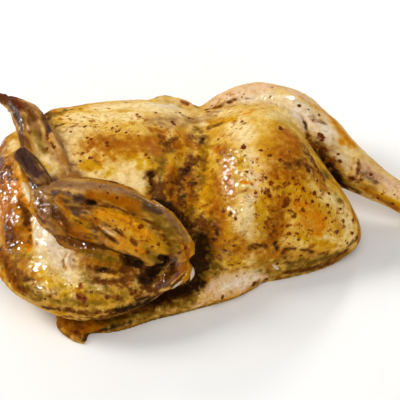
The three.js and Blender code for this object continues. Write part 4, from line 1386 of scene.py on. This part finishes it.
# The flat underside becomes one face: every face that lies wholly on the table is dissolved.
def flattenUnderside(skin):
    edit = bmesh.new()
    edit.from_mesh(skin["mesh"])
    under = [face for face in edit.faces if all(vert.co.z < tableGap for vert in face.verts)]
    bmesh.ops.dissolve_faces(edit, faces=under, use_verts=True)
    edit.to_mesh(skin["mesh"])
    edit.free()


for name, skin in skins.items():
    flattenUnderside(skin)
    triangles = sum(len(face.vertices) - 2 for face in skin["mesh"].polygons)
    print("stage:", name, "finished with", triangles, "triangles")


def makeFloor():
    floor = {"size": 4.0, "colour": (0.93, 0.93, 0.92, 1), "roughness": 0.6}
    half = floor["size"] / 2
    corners = [(-half, -half, 0), (half, -half, 0), (half, half, 0), (-half, half, 0)]
    mesh = bpy.data.meshes.new("floor")
    mesh.from_pydata(corners, [], [(0, 1, 2, 3)])
    material, _, shader = newMaterial("paleFloor")
    shader.inputs["Base Color"].default_value = floor["colour"]
    shader.inputs["Roughness"].default_value = floor["roughness"]
    mesh.materials.append(material)
    placed("floor", mesh)


# studio lights: the two broad ones only fill, and the three sheens only mirror in the wet skin
warmWhite = (1.0, 0.99, 0.97)
lights = {
    "key": {"at": (-0.78, 0.12, 0.66), "size": 0.4, "watts": 5.8, "colour": (1.0, 0.98, 0.94)},
    "back": {"at": (0.3, 0.9, 0.5), "size": 0.25, "watts": 3.2, "colour": (1.0, 0.98, 0.95)},
    "top": {"at": (0.1, -0.35, 1.15), "size": 0.9, "watts": 4.5, "colour": warmWhite, "mirrored": False},
    "front": {"at": (0.35, -1.1, 0.55), "size": 0.9, "watts": 4.0, "colour": warmWhite, "mirrored": False},
    "leftSheen": {"at": (-0.88, 0.05, 0.46), "size": 0.15, "watts": 6.5, "colour": warmWhite, "lit": False},
    "highSheen": {"at": (-0.62, 0.1, 0.74), "size": 0.15, "watts": 12, "colour": warmWhite, "lit": False},
    "backSheen": {"at": (0.3, 0.85, 0.45), "size": 0.16, "watts": 5, "colour": warmWhite, "lit": False},
}
room = {"colour": (0.97, 0.98, 1.0, 1), "strength": 0.28}


def makeLights():
    for name, light in lights.items():
        lamp = bpy.data.lights.new(name, "AREA")
        lamp.shape = "DISK"
        lamp.size = light["size"]
        lamp.energy = light["watts"]
        lamp.color = light["colour"]
        piece = placed(name, lamp)
        piece.location = light["at"]
        piece.visible_glossy = light.get("mirrored", True)
        piece.visible_diffuse = light.get("lit", True)
        piece.rotation_mode = "QUATERNION"
        piece.rotation_quaternion = (-Vector(light["at"])).to_track_quat("-Z", "Y")
    world = bpy.data.worlds.new("paleRoom")
    bpy.context.scene.world = world
    world.use_nodes = True
    background = world.node_tree.nodes["Background"]
    background.inputs["Color"].default_value = room["colour"]
    background.inputs["Strength"].default_value = room["strength"]
    world.cycles_visibility.glossy = False


def makeCamera():
    lens = bpy.data.cameras.new("camera")
    lens.sensor_width = view["sensor"]
    lens.lens = view["sensor"] * view["distance"] / (view["mmPerPixel"] * view["picture"])
    camera = placed("camera", lens)
    camera.location = Vector((eye + shift) * mm)
    camera.rotation_euler = (math.pi / 2 - tilt, 0, 0)
    bpy.context.scene.camera = camera


makeFloor()
makeLights()
makeCamera()
bpy.context.scene.view_settings.view_transform = "Standard"
print("stage: floor, lights and camera placed")

for name, skin in skins.items():
    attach(skin["piece"], "root")
    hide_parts("chicken")
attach(crumbs, "root")
